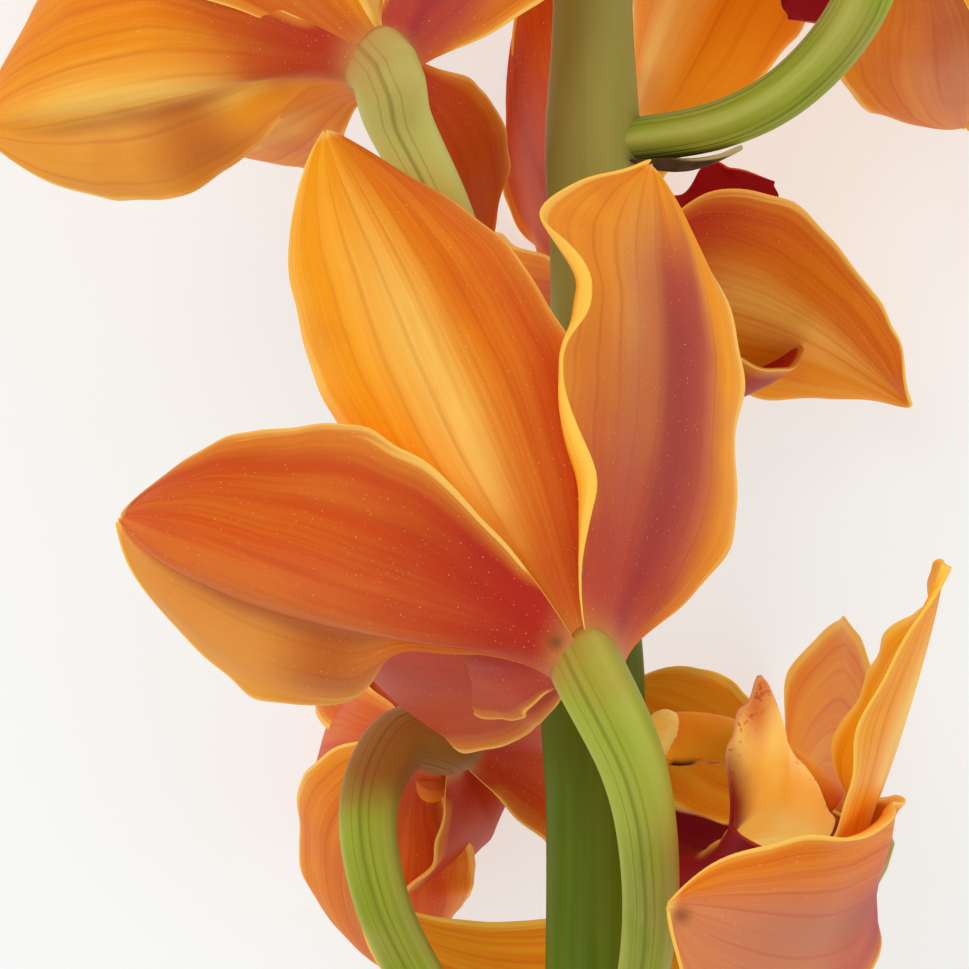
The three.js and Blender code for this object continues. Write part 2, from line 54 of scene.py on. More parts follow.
STEM_ROUTE = [
    (0, -292, SURFACE + 5.8), (0, -232, -39), (0, -160, -17), (0, -90, -3.5),
    (0, -20, 0), (0, 60, 0), (0, 140, 0), (0, 190, -0.5), (0, 240, -3),
]
STEM_CUT_RADIUS = 6.2
STEM_TIP_RADIUS = 2.9
NODE_SWELL = 0.8  # how far the stem swells where a pedicel leaves it, and along what length
NODE_LENGTH = 9.0
CUT_FACE = 0.4  # what lies this close to the stem's end is its cut

BLADE = 0.8  # the thickness of a sepal, petal or lip
RIM = 0.45  # a blade's thickness at its rim, as a share of the middle's
SEPAL_LENGTH = 60
SEPAL_WIDTH = 30
PETAL_WIDTH = 28
LIP_LENGTH = 37
COLUMN_LENGTH = 25
PEDICEL_RADIUS = 1.9
OVARY_RADIUS = 3.4
FOOT_OUT = 2.4  # from the flower's axis out to the foot of a sepal, petal or lip
LIP_LIFT = 3.3  # from the ovary's top to the foot of the lip, and of the column
COLUMN_LIFT = 4.4
BRACT_LENGTH = 12
BRACT_WIDTH = 7
BRACT_THICKNESS = 0.45
BRACT_DROP = 2.7  # from a pedicel's foot down to its bract
BRACT_SINK = 0.4  # how far its foot reaches into the stem's skin

# The relief of a blade: waves and frills of its rim, notches and nicks in its outline as shares of
# its width, the groove on its midrib, and bumps. A rim rolls back from ROLL_START, or from further
# in where it rolls far.
RUFFLE = 0.8
RUFFLE_WAVES = 2.5
FRILL = 0.3
NOTCH = 0.014
NICK = 0.008
MIDLINE = 0.35
BUMP = 0.12
ROLL_START = 0.84
FAR_ROLL = 1.5
FAR_ROLL_START = 0.77
TORN = 1.4  # how much closer notches follow each other on a rim that rolls right over

# az: way round the flower's face from its crown. open: angle from the way the flower looks. Both
# and the twist are given for the foot, the middle and the tip. cup: bend across the left and the
# right half. wrap, clasp: how far round the ovary the foot reaches, and how far out it starts.
# crease: its depth and place across, from -1 to 1. roll: how far the left and right rim roll back,
# in radians. left_edge: the stretch along it over which the left edge turns under or swells, and
# the change of width. colours: rose on its back, gold (below 0 it is deep red), place of the rose
# across it from 0 to 1, red at its foot, and how much more gold its right side has than its left.
# washed: how far its rose is washed out.
PLAIN = dict(twist=(0, 0, 0), crease=(0, 0), roll=(0.25, 0.25), left_edge=(0, 1, 2, 3, 0), washed=0)
SEPAL = dict(PLAIN, open=(62, 60, 48), long=SEPAL_LENGTH, wide=SEPAL_WIDTH, widest=0.52, foot=0.17,
             cup=((35, 35, 30), (35, 35, 30)), keel=0.05, wrap=56, clasp=3.05)
PETAL = dict(PLAIN, open=(50, 48, 40), long=SEPAL_LENGTH, wide=PETAL_WIDTH, widest=0.6, foot=0.15,
             cup=((30, 30, 30), (30, 30, 30)), keel=0, wrap=40, clasp=2.7)
TEPALS = {
    "dorsal": dict(SEPAL, az=(0, 0, 0), widest=0.55, colours=(0.5, 0.2, 0.5, 0.6, 0.2)),
    "petal_left": dict(PETAL, az=(-62, -66, -66), colours=(0.08, 0.6, 0.5, 0.6, -0.2)),
    "petal_right": dict(PETAL, az=(62, 66, 66), colours=(0.08, 0.6, 0.5, 0.6, 0.2)),
    "sepal_left": dict(SEPAL, az=(-120, -122, -118), colours=(0.6, 0.15, 0.5, 0.6, -0.2)),
    "sepal_right": dict(SEPAL, az=(120, 122, 118), colours=(0.6, 0.15, 0.5, 0.6, 0.2)),
}

# Half widths along a column and a bud: shares of the length, then the widths. Those of an ovary's
# top are evenly spaced, and shares of its radius.
COLUMN_GIRTH = (
    (0, 0.25, 0.5, 0.75, 0.88, 0.95, 0.985, 1),
    (2.3, 2.4, 2.7, 3.2, 3.4, 3.0, 2.0, 0),
)
OVARY_TOP_RADIUS = 2.8
OVARY_TOP_GIRTH = (0, 0.85, 0.98, 1, 0.95, 0.8, 0.55, 0.25, 0)
BUD_GIRTH = (
    (0, 0.25, 0.42, 0.52, 0.65, 0.8, 0.93, 0.985, 1),
    (0.3, 0.28, 0.36, 0.72, 1, 0.9, 0.5, 0.16, 0),
)
COLUMN_BEND = ((0, 2.4), (0.3, 3.6), (0.7, 2.4), (1, -1.2))  # share, and the way to the crown
CAP_RADIUS = 3.0
CAP_BACK = 1.4  # from the column's end back to the cap's middle
CAP_UP = 0.9

# Along the lip: share, half width, bend across it in degrees, and the way that it points.
LIP_STATIONS = [
    (0, 3, 55, 12), (0.2, 9, 85, 18), (0.42, 15.5, 102, 26), (0.56, 12.5, 80, 45),
    (0.65, 6.5, 35, 75), (0.8, 8.5, -20, 105), (0.92, 6, -30, 125), (1, 1.2, -30, 135),
]

NEAR_FLOWERS = 6  # the flowers up to this one have the finest blades
USUAL_NECK = 0.9  # where a pedicel takes the colour of its flower, as a share of its length

# at: top of the ovary. face: where the flower looks, as (angle in the plane of the raceme from +X,
# angle from straight down). crown: angle of the dorsal sepal in that plane. stalk: the pedicel from
# the stem's axis to near the ovary's top. red_neck: the share of its length from which it takes the
# colour of the flower, if earlier than others. pale: how much paler it is towards the flower, a
# painted highlight.
FLOWERS = [
    dict(at=(28.4, 14.4, 0), face=(151, 107), crown=60, size=0.95, neck=0.4, lip_turn=12,
         lip_roll=50, lip_size=1.0, lip_long=0.8, lip_tall=0.16, column_long=0.9,
         stalk=((1.5, -62, 0), (9, -49, -2), (16, -27, -9), (20.5, -5, -9))),
    dict(at=(-16.3, 23.9, -12), face=(260, 12), crown=240, lip_size=0.85, red_neck=0.7,
         stalk=((-1.2, -30, -1.2), (-13.5, -10, -1), (-22.8, 7, 0), (-24.3, 18.5, -3),
                (-20.5, 25, -7))),
    dict(at=(-1.7, 35.9, 45), face=(115, 32), crown=183, lip_turn=-22,
         stalk=((0.6, -15, 1), (4.6, -2, 15), (5.6, 12.1, 32), (3.4, 25, 44.5))),
    dict(at=(1.4, 75.7, -28), face=(30, 38), crown=210, lip_turn=-30, lip_size=0.85,
         stalk=((0.1, 30, -1.2), (0.2, 44.8, -14), (0.2, 60.7, -26))),
    dict(at=(-23.3, 97.5, 30), face=(140, 30), crown=191, pale=0.55,
         stalk=((-0.6, 52, 1), (-11, 69.8, 13), (-17, 84.2, 23), (-21, 92.3, 28))),
    dict(at=(33, 119, 10), face=(280, 10), crown=40, lip_turn=-12, lip_size=0.75,
         stalk=((0.5, 90.6, 0.5), (13.8, 92.7, 4), (21.4, 96.6, 6), (28.3, 104.7, 8))),
    dict(at=(-15.2, 155.3, -18), face=(200, 40), crown=155,
         stalk=((-0.5, 122, -0.3), (-5.7, 132.9, -8), (-11.3, 143.9, -14))),
    dict(at=(3, 195, 36), face=(70, 35), crown=95, size=0.92,
         stalk=((0.5, 151, 0.5), (5, 163, 14), (6.5, 177, 28), (5, 188, 34))),
    dict(at=(2, 218, -24), face=(95, 55), crown=120, size=0.85,
         stalk=((0, 178, -1), (1, 190, -13), (1.5, 205, -22))),
]

# What a blade has in other ways than TEPALS says, by the number of its flower and its name.
GROWN = {
    (1, "petal_left"): dict(
        az=(-70, -73, -30), open=(70, 64, 65), twist=(32, -10, -16), wide=27.5, long=65,
        widest=0.45, foot=0.4, cup=((34, 25, 23), (60, 23, 23)), colours=(0.0, 0.8, 0.5, 0.3, 0)),
    (1, "sepal_left"): dict(
        az=(-94, -123, -109), open=(97, 54, 14), twist=(43, -4, 29), wide=29.5, long=62, foot=0.4,
        cup=((10, 30, 40), (35, 26, 36)), keel=-0.25, roll=(0.25, 1.7),
        colours=(0.8, 0.2, 0.5, 2.5, 0.1), washed=0.5),
    (1, "sepal_right"): dict(
        az=(156, 129, 157), open=(98, 59, -22), twist=(16, -57, -66), wide=16.5, long=68,
        cup=((14, 6, 12), (14, 6, 12)), colours=(0.05, 0.3, 0.5, 0.2, 0)),
    (1, "dorsal"): dict(
        az=(64, 101, 127), open=(99, 103, 117), twist=(14, -6, -6), wide=36, long=65,
        colours=(0.0, 0.45, 0.5, 0.3, 0)),
    (1, "petal_right"): dict(
        az=(86, 80, 89), open=(43, 37, 26), twist=(-40, -19, 1), wide=18, long=31,
        colours=(0.0, 0.45, 0.5, 0.4, 0)),
    (2, "dorsal"): dict(
        az=(33, -22, -100), open=(34, 57, 23), twist=(-37, 38, 59), wide=24.5, long=42, widest=0.5,
        cup=((32, 34, 30), (22, 37, 46)), keel=0.3, colours=(0.2, 0.2, 0.5, 0.5, 0.4)),
    (2, "petal_right"): dict(
        open=(40, 15, -30), long=52, colours=(0.1, 0.0, 0.5, 0.6, 0)),
    (2, "sepal_right"): dict(
        az=(136, 112, 118), open=(45, 24, 29), twist=(-32, -25, 10), wide=25.5, long=44),
    (2, "petal_left"): dict(
        az=(-70, -76, -70), open=(30, 8, -10), twist=(-40, 0, -20), wide=28, long=33,
        colours=(0.0, -0.6, 0.5, 0.6, 0)),
    (2, "sepal_left"): dict(
        az=(-125, -125, -118), open=(50, 24, -12), twist=(-22, -28, -3), wide=30.5, long=40,
        colours=(0.1, -0.4, 0.5, 0.6, 0)),
    (3, "dorsal"): dict(
        az=(10, 18, -7), open=(77, 72, 12), twist=(-20, -1, 18), wide=35.5, long=53, widest=0.42,
        foot=0.28, cup=((55, 40, 10), (32, 40, 15)), keel=0.2, crease=(2.8, -0.2), roll=(0.2, 0.35),
        left_edge=(0.05, 0.14, 0.3, 0.4, -0.72), colours=(0.25, 0.1, 0.45, 1.0, -0.4)),
    (3, "petal_right"): dict(
        az=(70, 72, 66), open=(51, 48, 41), twist=(-5, -11, 33), wide=26.5, long=59, widest=0.52,
        foot=0.24, cup=((32, 32, 34), (28, 30, 36)), colours=(0.0, 0.65, 0.5, 0.5, -0.9)),
    (3, "sepal_right"): dict(
        az=(140, 108, 112), open=(50, 39, 24), twist=(11, 28, 8), wide=32, long=57, widest=0.37,
        foot=0.28, cup=((17, 34, 34), (20, 30, 40)), keel=-0.15, crease=(0.9, 0.1), roll=(3.2, 0.2),
        left_edge=(0.62, 0.86, 0.9, 0.98, 0.55), colours=(1.0, 0.8, 0.6, 0.3, 0.15)),
    (3, "sepal_left"): dict(
        az=(-27, -44, -41), open=(51, 18, 0), twist=(24, 36, 37), wide=19, long=35,
        colours=(0.5, -0.5, 0.5, 0.5, 0)),
    (3, "petal_left"): dict(
        az=(-48, -36, -31), open=(42, 45, -9), twist=(2, 16, 16), wide=28.5, long=52,
        colours=(0.3, -0.5, 0.5, 0.7, 0)),
    (4, "sepal_right"): dict(
        az=(120, 139, 149), open=(61, 64, 51), twist=(-42, -40, 25), wide=30, long=58,
        cup=((45, 48, 33), (15, 38, 36)), roll=(0.4, 1.2), colours=(0.0, 1.0, 0.5, 0.1, 0)),
    (4, "petal_right"): dict(
        az=(58, 58, 58), open=(50, 50, 24), colours=(0.5, -0.3, 0.5, 0.5, 0)),
    (4, "petal_left"): dict(
        az=(-75, -117, -101), open=(85, 53, -55), twist=(32, 26, 32), wide=20, long=33,
        colours=(0.0, -1.0, 0.5, 0.5, 0)),
    (4, "sepal_left"): dict(
        az=(-125, -99, -109), open=(20, 52, 74), twist=(-31, 5, 32), wide=31, long=41, widest=0.3,
        cup=((42, 29, 19), (30, 26, 16)), keel=-0.2, colours=(0.0, 0.62, 0.5, 0.9, 0.6)),
    (5, "dorsal"): dict(
        az=(0, -8, -40), open=(48, 42, 30), twist=(-25, 10, 50), long=51,
        cup=((52, 38, 25), (36, 40, 30)), keel=0.19, crease=(2.2, -0.2),
        colours=(0.0, 0.85, 0.5, 1.0, -0.45)),
    (5, "sepal_right"): dict(
        az=(164, 121, 121), open=(67, 62, 48), twist=(-44, -16, -14), wide=29, long=56,
        cup=((60, 36, 30), (41, 33, 30)), keel=0.2, colours=(1.0, 0.1, 0.5, 0.4, 0.3), washed=0.2),
    (5, "sepal_left"): dict(
        az=(-129, -97, -97), open=(61, 54, 50), twist=(0, -12, -8), wide=19, long=54,
        colours=(0.0, -0.4, 0.5, 0.5, 0)),
    (5, "petal_left"): dict(
        az=(-44, -66, -58), open=(34, 29, -11), twist=(3, 23, 8), wide=26, long=58,
        colours=(0.0, 0.7, 0.5, 0.4, 0)),
    (6, "sepal_right"): dict(
        az=(102, 99, 99), open=(51, 6, 3), twist=(0, 23, 0), wide=27.5, long=50,
        colours=(0.4, 0.4, 0.5, 0.1, 0), washed=0.4),
}

# Closed buds at the tip: stalk from the stem's axis through the bud to its tip.
BUDS = [
    dict(route=((-0.5, 197, -0.5), (-9, 206, 0), (-15, 221, 1), (-15, 241, 3)), radius=7.5),
    dict(route=((0.5, 213, -1), (10, 221, -1), (16, 234, 1), (17, 248, 4)), radius=6.4),
    dict(route=((-0.3, 226, -2), (-7, 234, -6), (-10, 245, -7), (-9, 256, -6)), radius=4.8),
    dict(route=((0, 236, -2.5), (1.5, 244, -3), (2, 252, -3), (1, 260, -1)), radius=3.4),
]

SHEATHS = [dict(foot=-262, long=58), dict(foot=-206, long=60), dict(foot=-140, long=58)]
SHEATH_GAP = 0.3  # between the stem's skin and a sheath
SHEATH_FLARE = 1.2  # how far a sheath's point stands off the stem
SHEATH_WRAP = 165  # how far round the stem its foot reaches to each side, in degrees
SHEATH_THICKNESS = 0.5

# ---------- shapes as points ----------


def blend(values, t):
    """A value that goes from the foot's past the middle's to the tip's."""
    a, b, c = values
    return a * (1 - t) ** 2 + 2 * b * t * (1 - t) + c * t * t


def smoothstep(x, low, high):
    s = np.clip((x - low) / (high - low), 0, 1)
    return s * s * (3 - 2 * s)


def at_station(stations, column, t):
    """A value read off stations, eased between neighbours."""
    t = np.asarray(t, float)
    value = np.full(t.shape, float(stations[0][column]))
    for low, high in zip(stations, stations[1:]):
        part = smoothstep(t, low[0], high[0])
        value = np.where(t >= low[0], low[column] + (high[column] - low[column]) * part, value)
    return value


def rows_of(rows):
    """Shares along a tepal, closer together at its tip."""
    return 1 - (1 - np.linspace(0, 1, rows + 1)) ** 1.15


def mirrored(half):
    """Places across a blade, from those on one half of it."""
    return np.array([-x for x in reversed(half[1:])] + list(half), float)


ACROSS = mirrored((0, 0.09, 0.25, 0.46, 0.66, 0.8, 0.87, 0.92, 0.96, 1))
ACROSS_FINE = mirrored(
    (0, 0.06, 0.13, 0.2, 0.27, 0.36, 0.47, 0.58, 0.68, 0.77, 0.84, 0.88, 0.92, 0.96, 1))
ACROSS_FAR = mirrored((0, 0.3, 0.62, 0.84, 0.93, 1))


def unit(v):
    return v / np.maximum(np.linalg.norm(v, axis=-1, keepdims=True), 1e-9)


def flat(angle):
    """A direction in the plane of the raceme."""
    return np.array((math.cos(math.radians(angle)), math.sin(math.radians(angle)), 0.0))


def rest_on_surface(points):
    """What would hang below the surface bends along it."""
    points = points.copy()
    height = (points[..., 2] - SURFACE) / SURFACE_EASE
    bent = SURFACE + SURFACE_EASE * np.log1p(np.exp(np.minimum(height, SURFACE_CLEAR)))
    points[..., 2] = np.where(height < SURFACE_CLEAR, bent, points[..., 2])
    return points


class Bloom:
    """Where a flower sits and which way it looks."""

    def __init__(self, flower):
        turn, tilt = flower["face"]
        self.at = np.array(flower["at"], float)
        self.size = flower.get("size", 1)
        self.face = flat(turn) * math.sin(math.radians(tilt))
        self.face[2] = -math.cos(math.radians(tilt))
        crown = flat(flower["crown"])
        self.crown = unit(crown - self.face * crown.dot(self.face))
        self.side = np.cross(self.face, self.crown)

    def around(self, azimuth):
        """Directions out from the flower's axis, and round it."""
        azimuth = np.radians(np.asarray(azimuth, float))[..., None]
        outward = self.crown * np.cos(azimuth) + self.side * np.sin(azimuth)
        across = -self.crown * np.sin(azimuth) + self.side * np.cos(azimuth)
        return outward, across

    def midrib(self, foot, length, azimuth, opening, twist, t):
        """Points along a midrib, with the directions across the blade and out of its inner face."""
        fine = np.linspace(0, 1, 97)
        outward, across = self.around(azimuth(fine))
        angle = np.radians(opening(fine))[:, None]
        forward = outward * np.sin(angle) + self.face * np.cos(angle)
        inward = self.face * np.sin(angle) - outward * np.cos(angle)
        steps = (forward[1:] + forward[:-1]) / 2 * (length / (len(fine) - 1))
        rib = foot + np.vstack((np.zeros(3), np.cumsum(steps, axis=0)))
        turn = np.radians(twist(fine))[:, None]
        over = across * np.cos(turn) + inward * np.sin(turn)
        out = inward * np.cos(turn) - across * np.sin(turn)

        def at(values):
            return np.stack([np.interp(t, fine, values[:, k]) for k in range(3)], axis=-1)

        return at(rib), unit(at(over)), unit(at(out))


def arc_across(rib, over, out, half, cup, v, lift, roll=0.02, start=ROLL_START):
    """A sheet of points: each row is an arc bent by `cup` degrees, v from -1 to 1.

    Beyond `start` the sheet rolls back, by `roll` radians in all."""
    bend = np.radians(np.where(np.abs(cup) < 0.1, 0.1, cup))
    side = np.sign(v)
    angle = side * np.minimum(np.abs(v), start) * bend
    radius = (1 - start) * half / np.maximum(roll, 0.02)
    turn = np.maximum(np.abs(v) - start, 0) * half / radius
    reach, back = radius * np.sin(turn), radius * (1 - np.cos(turn))
    sideways = half / bend * np.sin(angle) + side * np.cos(angle) * reach + np.sin(angle) * back
    rise = half / bend * (1 - np.cos(angle)) + side * np.sin(angle) * reach - np.cos(angle) * back
    rise = rise + lift
    return rib[:, None] + over[:, None] * sideways[..., None] + out[:, None] * rise[..., None]


def tepal_half_width(part, t):
    """Full where it is widest, narrower at its foot and rounded to nothing at its tip."""
    grown = np.sin(math.pi / 2 * np.minimum(t / part["widest"], 1)) ** 1.3
    rise = part["foot"] + (1 - part["foot"]) * grown
    past = np.clip((t - part["widest"]) / (1 - part["widest"]), 0, 1)
    fall = np.maximum(1 - past ** 2.2, 0) ** 0.75
    return np.maximum(part["wide"] / 2 * np.where(t < part["widest"], rise, fall), 0.35)


def tepal_points(bloom, part, rows, v, phase):
    """A sepal or petal as a sheet of points, its foot clasping the ovary's top."""
    size = bloom.size
    t = rows_of(rows)
    v = v[None, :]
    outward, _ = bloom.around(part["az"][0])
    foot = bloom.at + outward * FOOT_OUT * size + bloom.face * size
    rib, over, out = bloom.midrib(
        foot, part["long"] * size, lambda s: blend(part["az"], s), lambda s: blend(part["open"], s),
        lambda s: blend(part["twist"], s), t)
    along = t[:, None]
    left = v < 0
    half = (tepal_half_width(part, t) * size)[:, None]
    start, full, ebb, end, change = part["left_edge"]
    swell = change * smoothstep(along, start, full) * (1 - smoothstep(along, ebb, end))
    notched = NOTCH * np.sin(2 * math.pi * (4.3 * along + phase) + np.where(left, 2.1, 0))
    nicks = np.sin(2 * math.pi * (9.1 * along + 2.7 * phase) + np.where(left, 1, 0))
    notched = notched + NICK * nicks
    keel = half * part["keel"] * (np.sqrt(v * v + 0.02) - math.sqrt(0.02))
    wave = np.sin(2 * math.pi * RUFFLE_WAVES * along + np.where(left, 1.7, 0))
    ruffle = RUFFLE * np.abs(v) ** 3 * wave * np.minimum(4 * along, 1)
    frill = FRILL * np.abs(v) ** 6 * np.sin(2 * math.pi * (6.3 * along + phase) + 2 * v)
    depth, place = part["crease"]
    claw = smoothstep(along, 0.0, 0.13)[..., None]
    grown = smoothstep(along, 0.0, 0.1)
    wrap, _ = bloom.around(part["az"][0] + part["wrap"] * v)
    ring = (part["clasp"] + 0.75 * grown) * size
    foot_ring = (bloom.at + wrap * ring[..., None]
                 + bloom.face * ((-3.4 + 4.4 * grown) * size)[..., None])
    fade = smoothstep(along, 0.05, 0.3) * (1 - smoothstep(along, 0.75, 0.98))
    crease = depth * fade * (np.exp(-((v - place) / np.where(v < place, 0.28, 0.08)) ** 2)
                             - 0.45 * np.exp(-((v - place - 0.24) / 0.15) ** 2))
    midline = -MIDLINE * np.exp(-(v / 0.07) ** 2) * smoothstep(along, 0.1, 0.3)
    bumps = BUMP * np.sin(v * 16 + 5 * phase + 3 * along) * smoothstep(along, 0.0, 0.2)
    cup = np.where(left, blend(part["cup"][0], along), blend(part["cup"][1], along))
    rolls = part["roll"]
    roll = np.where(left, rolls[0], rolls[1]) * smoothstep(along, 0.02, 0.14)
    roll = roll * (0.72 + 0.28 * np.sin(2 * math.pi * (1.9 * part["ragged"] * along + phase)))
    notched = notched * part["ragged"] + np.where(left, swell * np.abs(v), 0)
    relief = keel + ruffle + frill + crease + midline + bumps
    roll_start = np.where(min(rolls) + roll > FAR_ROLL, FAR_ROLL_START, ROLL_START)
    points = arc_across(rib, over, out, half * (1 + notched), cup, v, relief, roll, roll_start)
    return rest_on_surface(foot_ring * (1 - claw) + points * claw)


def lip_points(bloom, flower, rows, columns):
    """A lip as a sheet of points: two side lobes that stand up, two ridges and a middle lobe."""
    size = bloom.size * flower.get("lip_size", 1)
    t = np.linspace(0, 1, rows + 1)
    v = np.linspace(-1, 1, columns + 1)[None, :]
    azimuth = 180 + flower.get("lip_roll", 0)
    foot = bloom.at + bloom.around(azimuth)[0] * FOOT_OUT * size + bloom.face * LIP_LIFT * size
    length = LIP_LENGTH * size * flower.get("lip_long", 1)
    rib, over, out = bloom.midrib(
        foot, length, lambda s: azimuth + 0 * s,
        lambda s: at_station(LIP_STATIONS, 3, s) + flower.get("lip_turn", 0), lambda s: 0 * s, t)
    side_lobes = smoothstep(t, 0.1, 0.35) * (1 - smoothstep(t, 0.5, 0.62))
    corner = 2 * np.exp(-((t - 0.37) / 0.035) ** 2)
    tall = 1 + flower.get("lip_tall", 0) * (side_lobes + corner)
    half = (at_station(LIP_STATIONS, 1, t) * size * tall)[:, None]
    cup = at_station(LIP_STATIONS, 2, t)[:, None] + 0 * v
    along = t[:, None]
    ridges = np.exp(-((np.abs(v) - 0.13) / 0.07) ** 2) * smoothstep(along, 0.12, 0.25)
    ridges = 1.1 * ridges * (1 - smoothstep(along, 0.52, 0.62))
    lobe = smoothstep(along, 0.62, 0.75)
    frill = lobe * 0.9 * np.abs(v) ** 3 * np.sin(2 * math.pi * 5.5 * along + 1.5 * v)
    ragged = (1 - lobe) * 0.5 * np.abs(v) ** 8 * np.sin(2 * math.pi * 11 * along)
    return rest_on_surface(
        arc_across(rib, over, out, half, cup, v, ridges + frill + ragged))


def smooth_path(route, steps):
    """A centripetal Catmull-Rom curve through the route, as evenly spaced points."""
    p = np.array(route, float)
    p = np.vstack((2 * p[0] - p[1], p, 2 * p[-1] - p[-2]))
    dense = []
    for k in range(1, len(p) - 2):
        a, b, c, d = p[k - 1:k + 3]
        t0, t1, t2 = (math.sqrt(np.linalg.norm(q - r)) for q, r in ((b, a), (c, b), (d, c)))
        start = ((b - a) / t0 - (c - a) / (t0 + t1) + (c - b) / t1) * t1
        end = ((c - b) / t1 - (d - b) / (t1 + t2) + (d - c) / t2) * t1
        for s in np.linspace(0, 1, 40, endpoint=k == len(p) - 3):
            dense.append(b + start * s + (3 * (c - b) - 2 * start - end) * s * s
                         + (2 * (b - c) + start + end) * s ** 3)
    dense = np.array(dense)
    length = np.concatenate(([0], np.cumsum(np.linalg.norm(np.diff(dense, axis=0), axis=1))))
    share = np.asarray(steps, float) * length[-1]
    return np.stack([np.interp(share, length, dense[:, k]) for k in range(3)], axis=-1)


def rings(path, radius, sides, up, swell=None):
    """Rings of points round a path: angle 0 faces `up`, the last column lies on the first."""
    tangent = unit(np.gradient(path, axis=0))
    turned = np.array(up, float)
    angle = -np.linspace(0, 2 * math.pi, sides + 1)
    out = []
    for k, direction in enumerate(tangent):
        turned = unit(turned - direction * turned.dot(direction))
        second = np.cross(direction, turned)
        r = radius[k] * np.ones(sides + 1)
        if swell is not None:
            r = r * (1 + swell(angle, k / (len(path) - 1)))
        out.append(path[k] + (r * np.cos(angle))[:, None] * turned
                   + (r * np.sin(angle))[:, None] * second)
    return np.array(out)


def shares(steps):
    """Even shares of a stalk's length, doubled at both ends, where it is closed."""
    return np.concatenate(([0], np.linspace(0, 1, steps + 1), [1]))


def closed_radius(radius):
    """The radius along a stalk, brought to nothing at both ends."""
    radius = np.array(radius, float)
    radius[0] = radius[-1] = 0
    return radius


# ---------- pieces ----------


def only(*pieces):
    bpy.ops.object.select_all(action="DESELECT")
    for piece in pieces:
        piece.select_set(True)
    bpy.context.view_layer.objects.active = pieces[0]


def in_edit_mode(piece, *steps):
    only(piece)
    bpy.ops.object.mode_set(mode="EDIT")
    bpy.ops.mesh.select_all(action="SELECT")
    for step in steps:
        step()
    bpy.ops.object.mode_set(mode="OBJECT")


def apply_modifiers(piece):
    only(piece)
    for modifier in list(piece.modifiers):
        bpy.ops.object.modifier_apply(modifier=modifier.name)


def lay_grid(name, points, materials, across=None, **marks):
    """A grid primitive laid on a sheet of points, its map running along and across the sheet.

    `across` gives the places of the columns from -1 to 1 where they aren't evenly spaced, and
    `marks` are vectors that the whole sheet carries for its finish."""
    rows, columns = points.shape[0] - 1, points.shape[1] - 1
    bpy.ops.object.select_all(action="DESELECT")
    bpy.ops.mesh.primitive_grid_add(x_subdivisions=rows, y_subdivisions=columns, size=2)
    piece = bpy.context.object
    piece.name = piece.data.name = name
    mesh = piece.data
    co = np.zeros(len(mesh.vertices) * 3)
    mesh.vertices.foreach_get("co", co)
    co = co.reshape(-1, 3)
    i = np.rint((co[:, 0] + 1) / 2 * rows).astype(int)
    j = np.rint((co[:, 1] + 1) / 2 * columns).astype(int)
    mesh.vertices.foreach_set("co", ((points[i, j] + ROW_SHIFT) * MM).ravel())
    middle = 1 - np.abs(j / columns * 2 - 1) ** 3
    if across is not None:
        middle = 1 - np.abs(across[j]) ** 3
        loops = mesh.uv_layers.active.data
        uv = np.zeros(len(loops) * 2)
        loops.foreach_get("uv", uv)
        uv = uv.reshape(-1, 2)
        uv[:, 0] = rows_of(rows)[np.rint(uv[:, 0] * rows).astype(int)]
        uv[:, 1] = (across[np.rint(uv[:, 1] * columns).astype(int)] + 1) / 2
        loops.foreach_set("uv", uv.ravel())
    for mark, vector in marks.items():
        grown = mesh.attributes.new(mark, "FLOAT_VECTOR", "POINT")
        grown.data.foreach_set("vector", np.tile(np.array(vector, float), len(mesh.vertices)))
    thick = piece.vertex_groups.new(name="thick")
    middle *= np.minimum((1 - i / rows) * 6, 1) * np.minimum(i / rows * 8 + 0.05, 1)
    for index, weight in enumerate(middle):
        thick.add([index], float(weight), "REPLACE")
    for material in materials:
        mesh.materials.append(material)
    mesh.update()
    return piece


def thicken(piece, thickness):
    """Gives a sheet its thickness, thinner at the rim, and rounds it."""
    wall = piece.modifiers.new("thickness", "SOLIDIFY")
    wall.thickness = thickness * MM
    wall.offset = 0
    wall.material_offset = 1
    wall.material_offset_rim = 0
    wall.vertex_group = "thick"
    wall.thickness_vertex_group = RIM
    round_off(piece, 1)


def round_off(piece, levels):
    """Applies what the piece has, with that many levels of subdivision, and shades it smooth."""
    if levels:
        soft = piece.modifiers.new("rounding", "SUBSURF")
        soft.levels = soft.render_levels = levels
    apply_modifiers(piece)
    bpy.ops.object.shade_smooth()


def roll_up(piece, levels=0):
    """Closes a grid of rings to one skin, its faces outwards."""
    in_edit_mode(piece, lambda: bpy.ops.mesh.remove_doubles(threshold=1e-6),
                 lambda: bpy.ops.mesh.normals_make_consistent(inside=False))
    round_off(piece, levels)


def join(name, pieces):
    only(*pieces)
    bpy.ops.object.join()
    piece = bpy.context.object
    piece.name = piece.data.name = name
    return piece


def place(piece, node, slot):
    """Hands the finished piece over as the node's own."""
    piece.vertex_groups.clear()
    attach(piece, "root")
    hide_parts(node)


# ---------- finishes ----------


def colour(red, green, blue):
    """Screen values from 0 to 255 as a linear colour."""
    def linear(c):
        c /= 255
        return c / 12.92 if c <= 0.04045 else ((c + 0.055) / 1.055) ** 2.4
    return (linear(red), linear(green), linear(blue), 1.0)


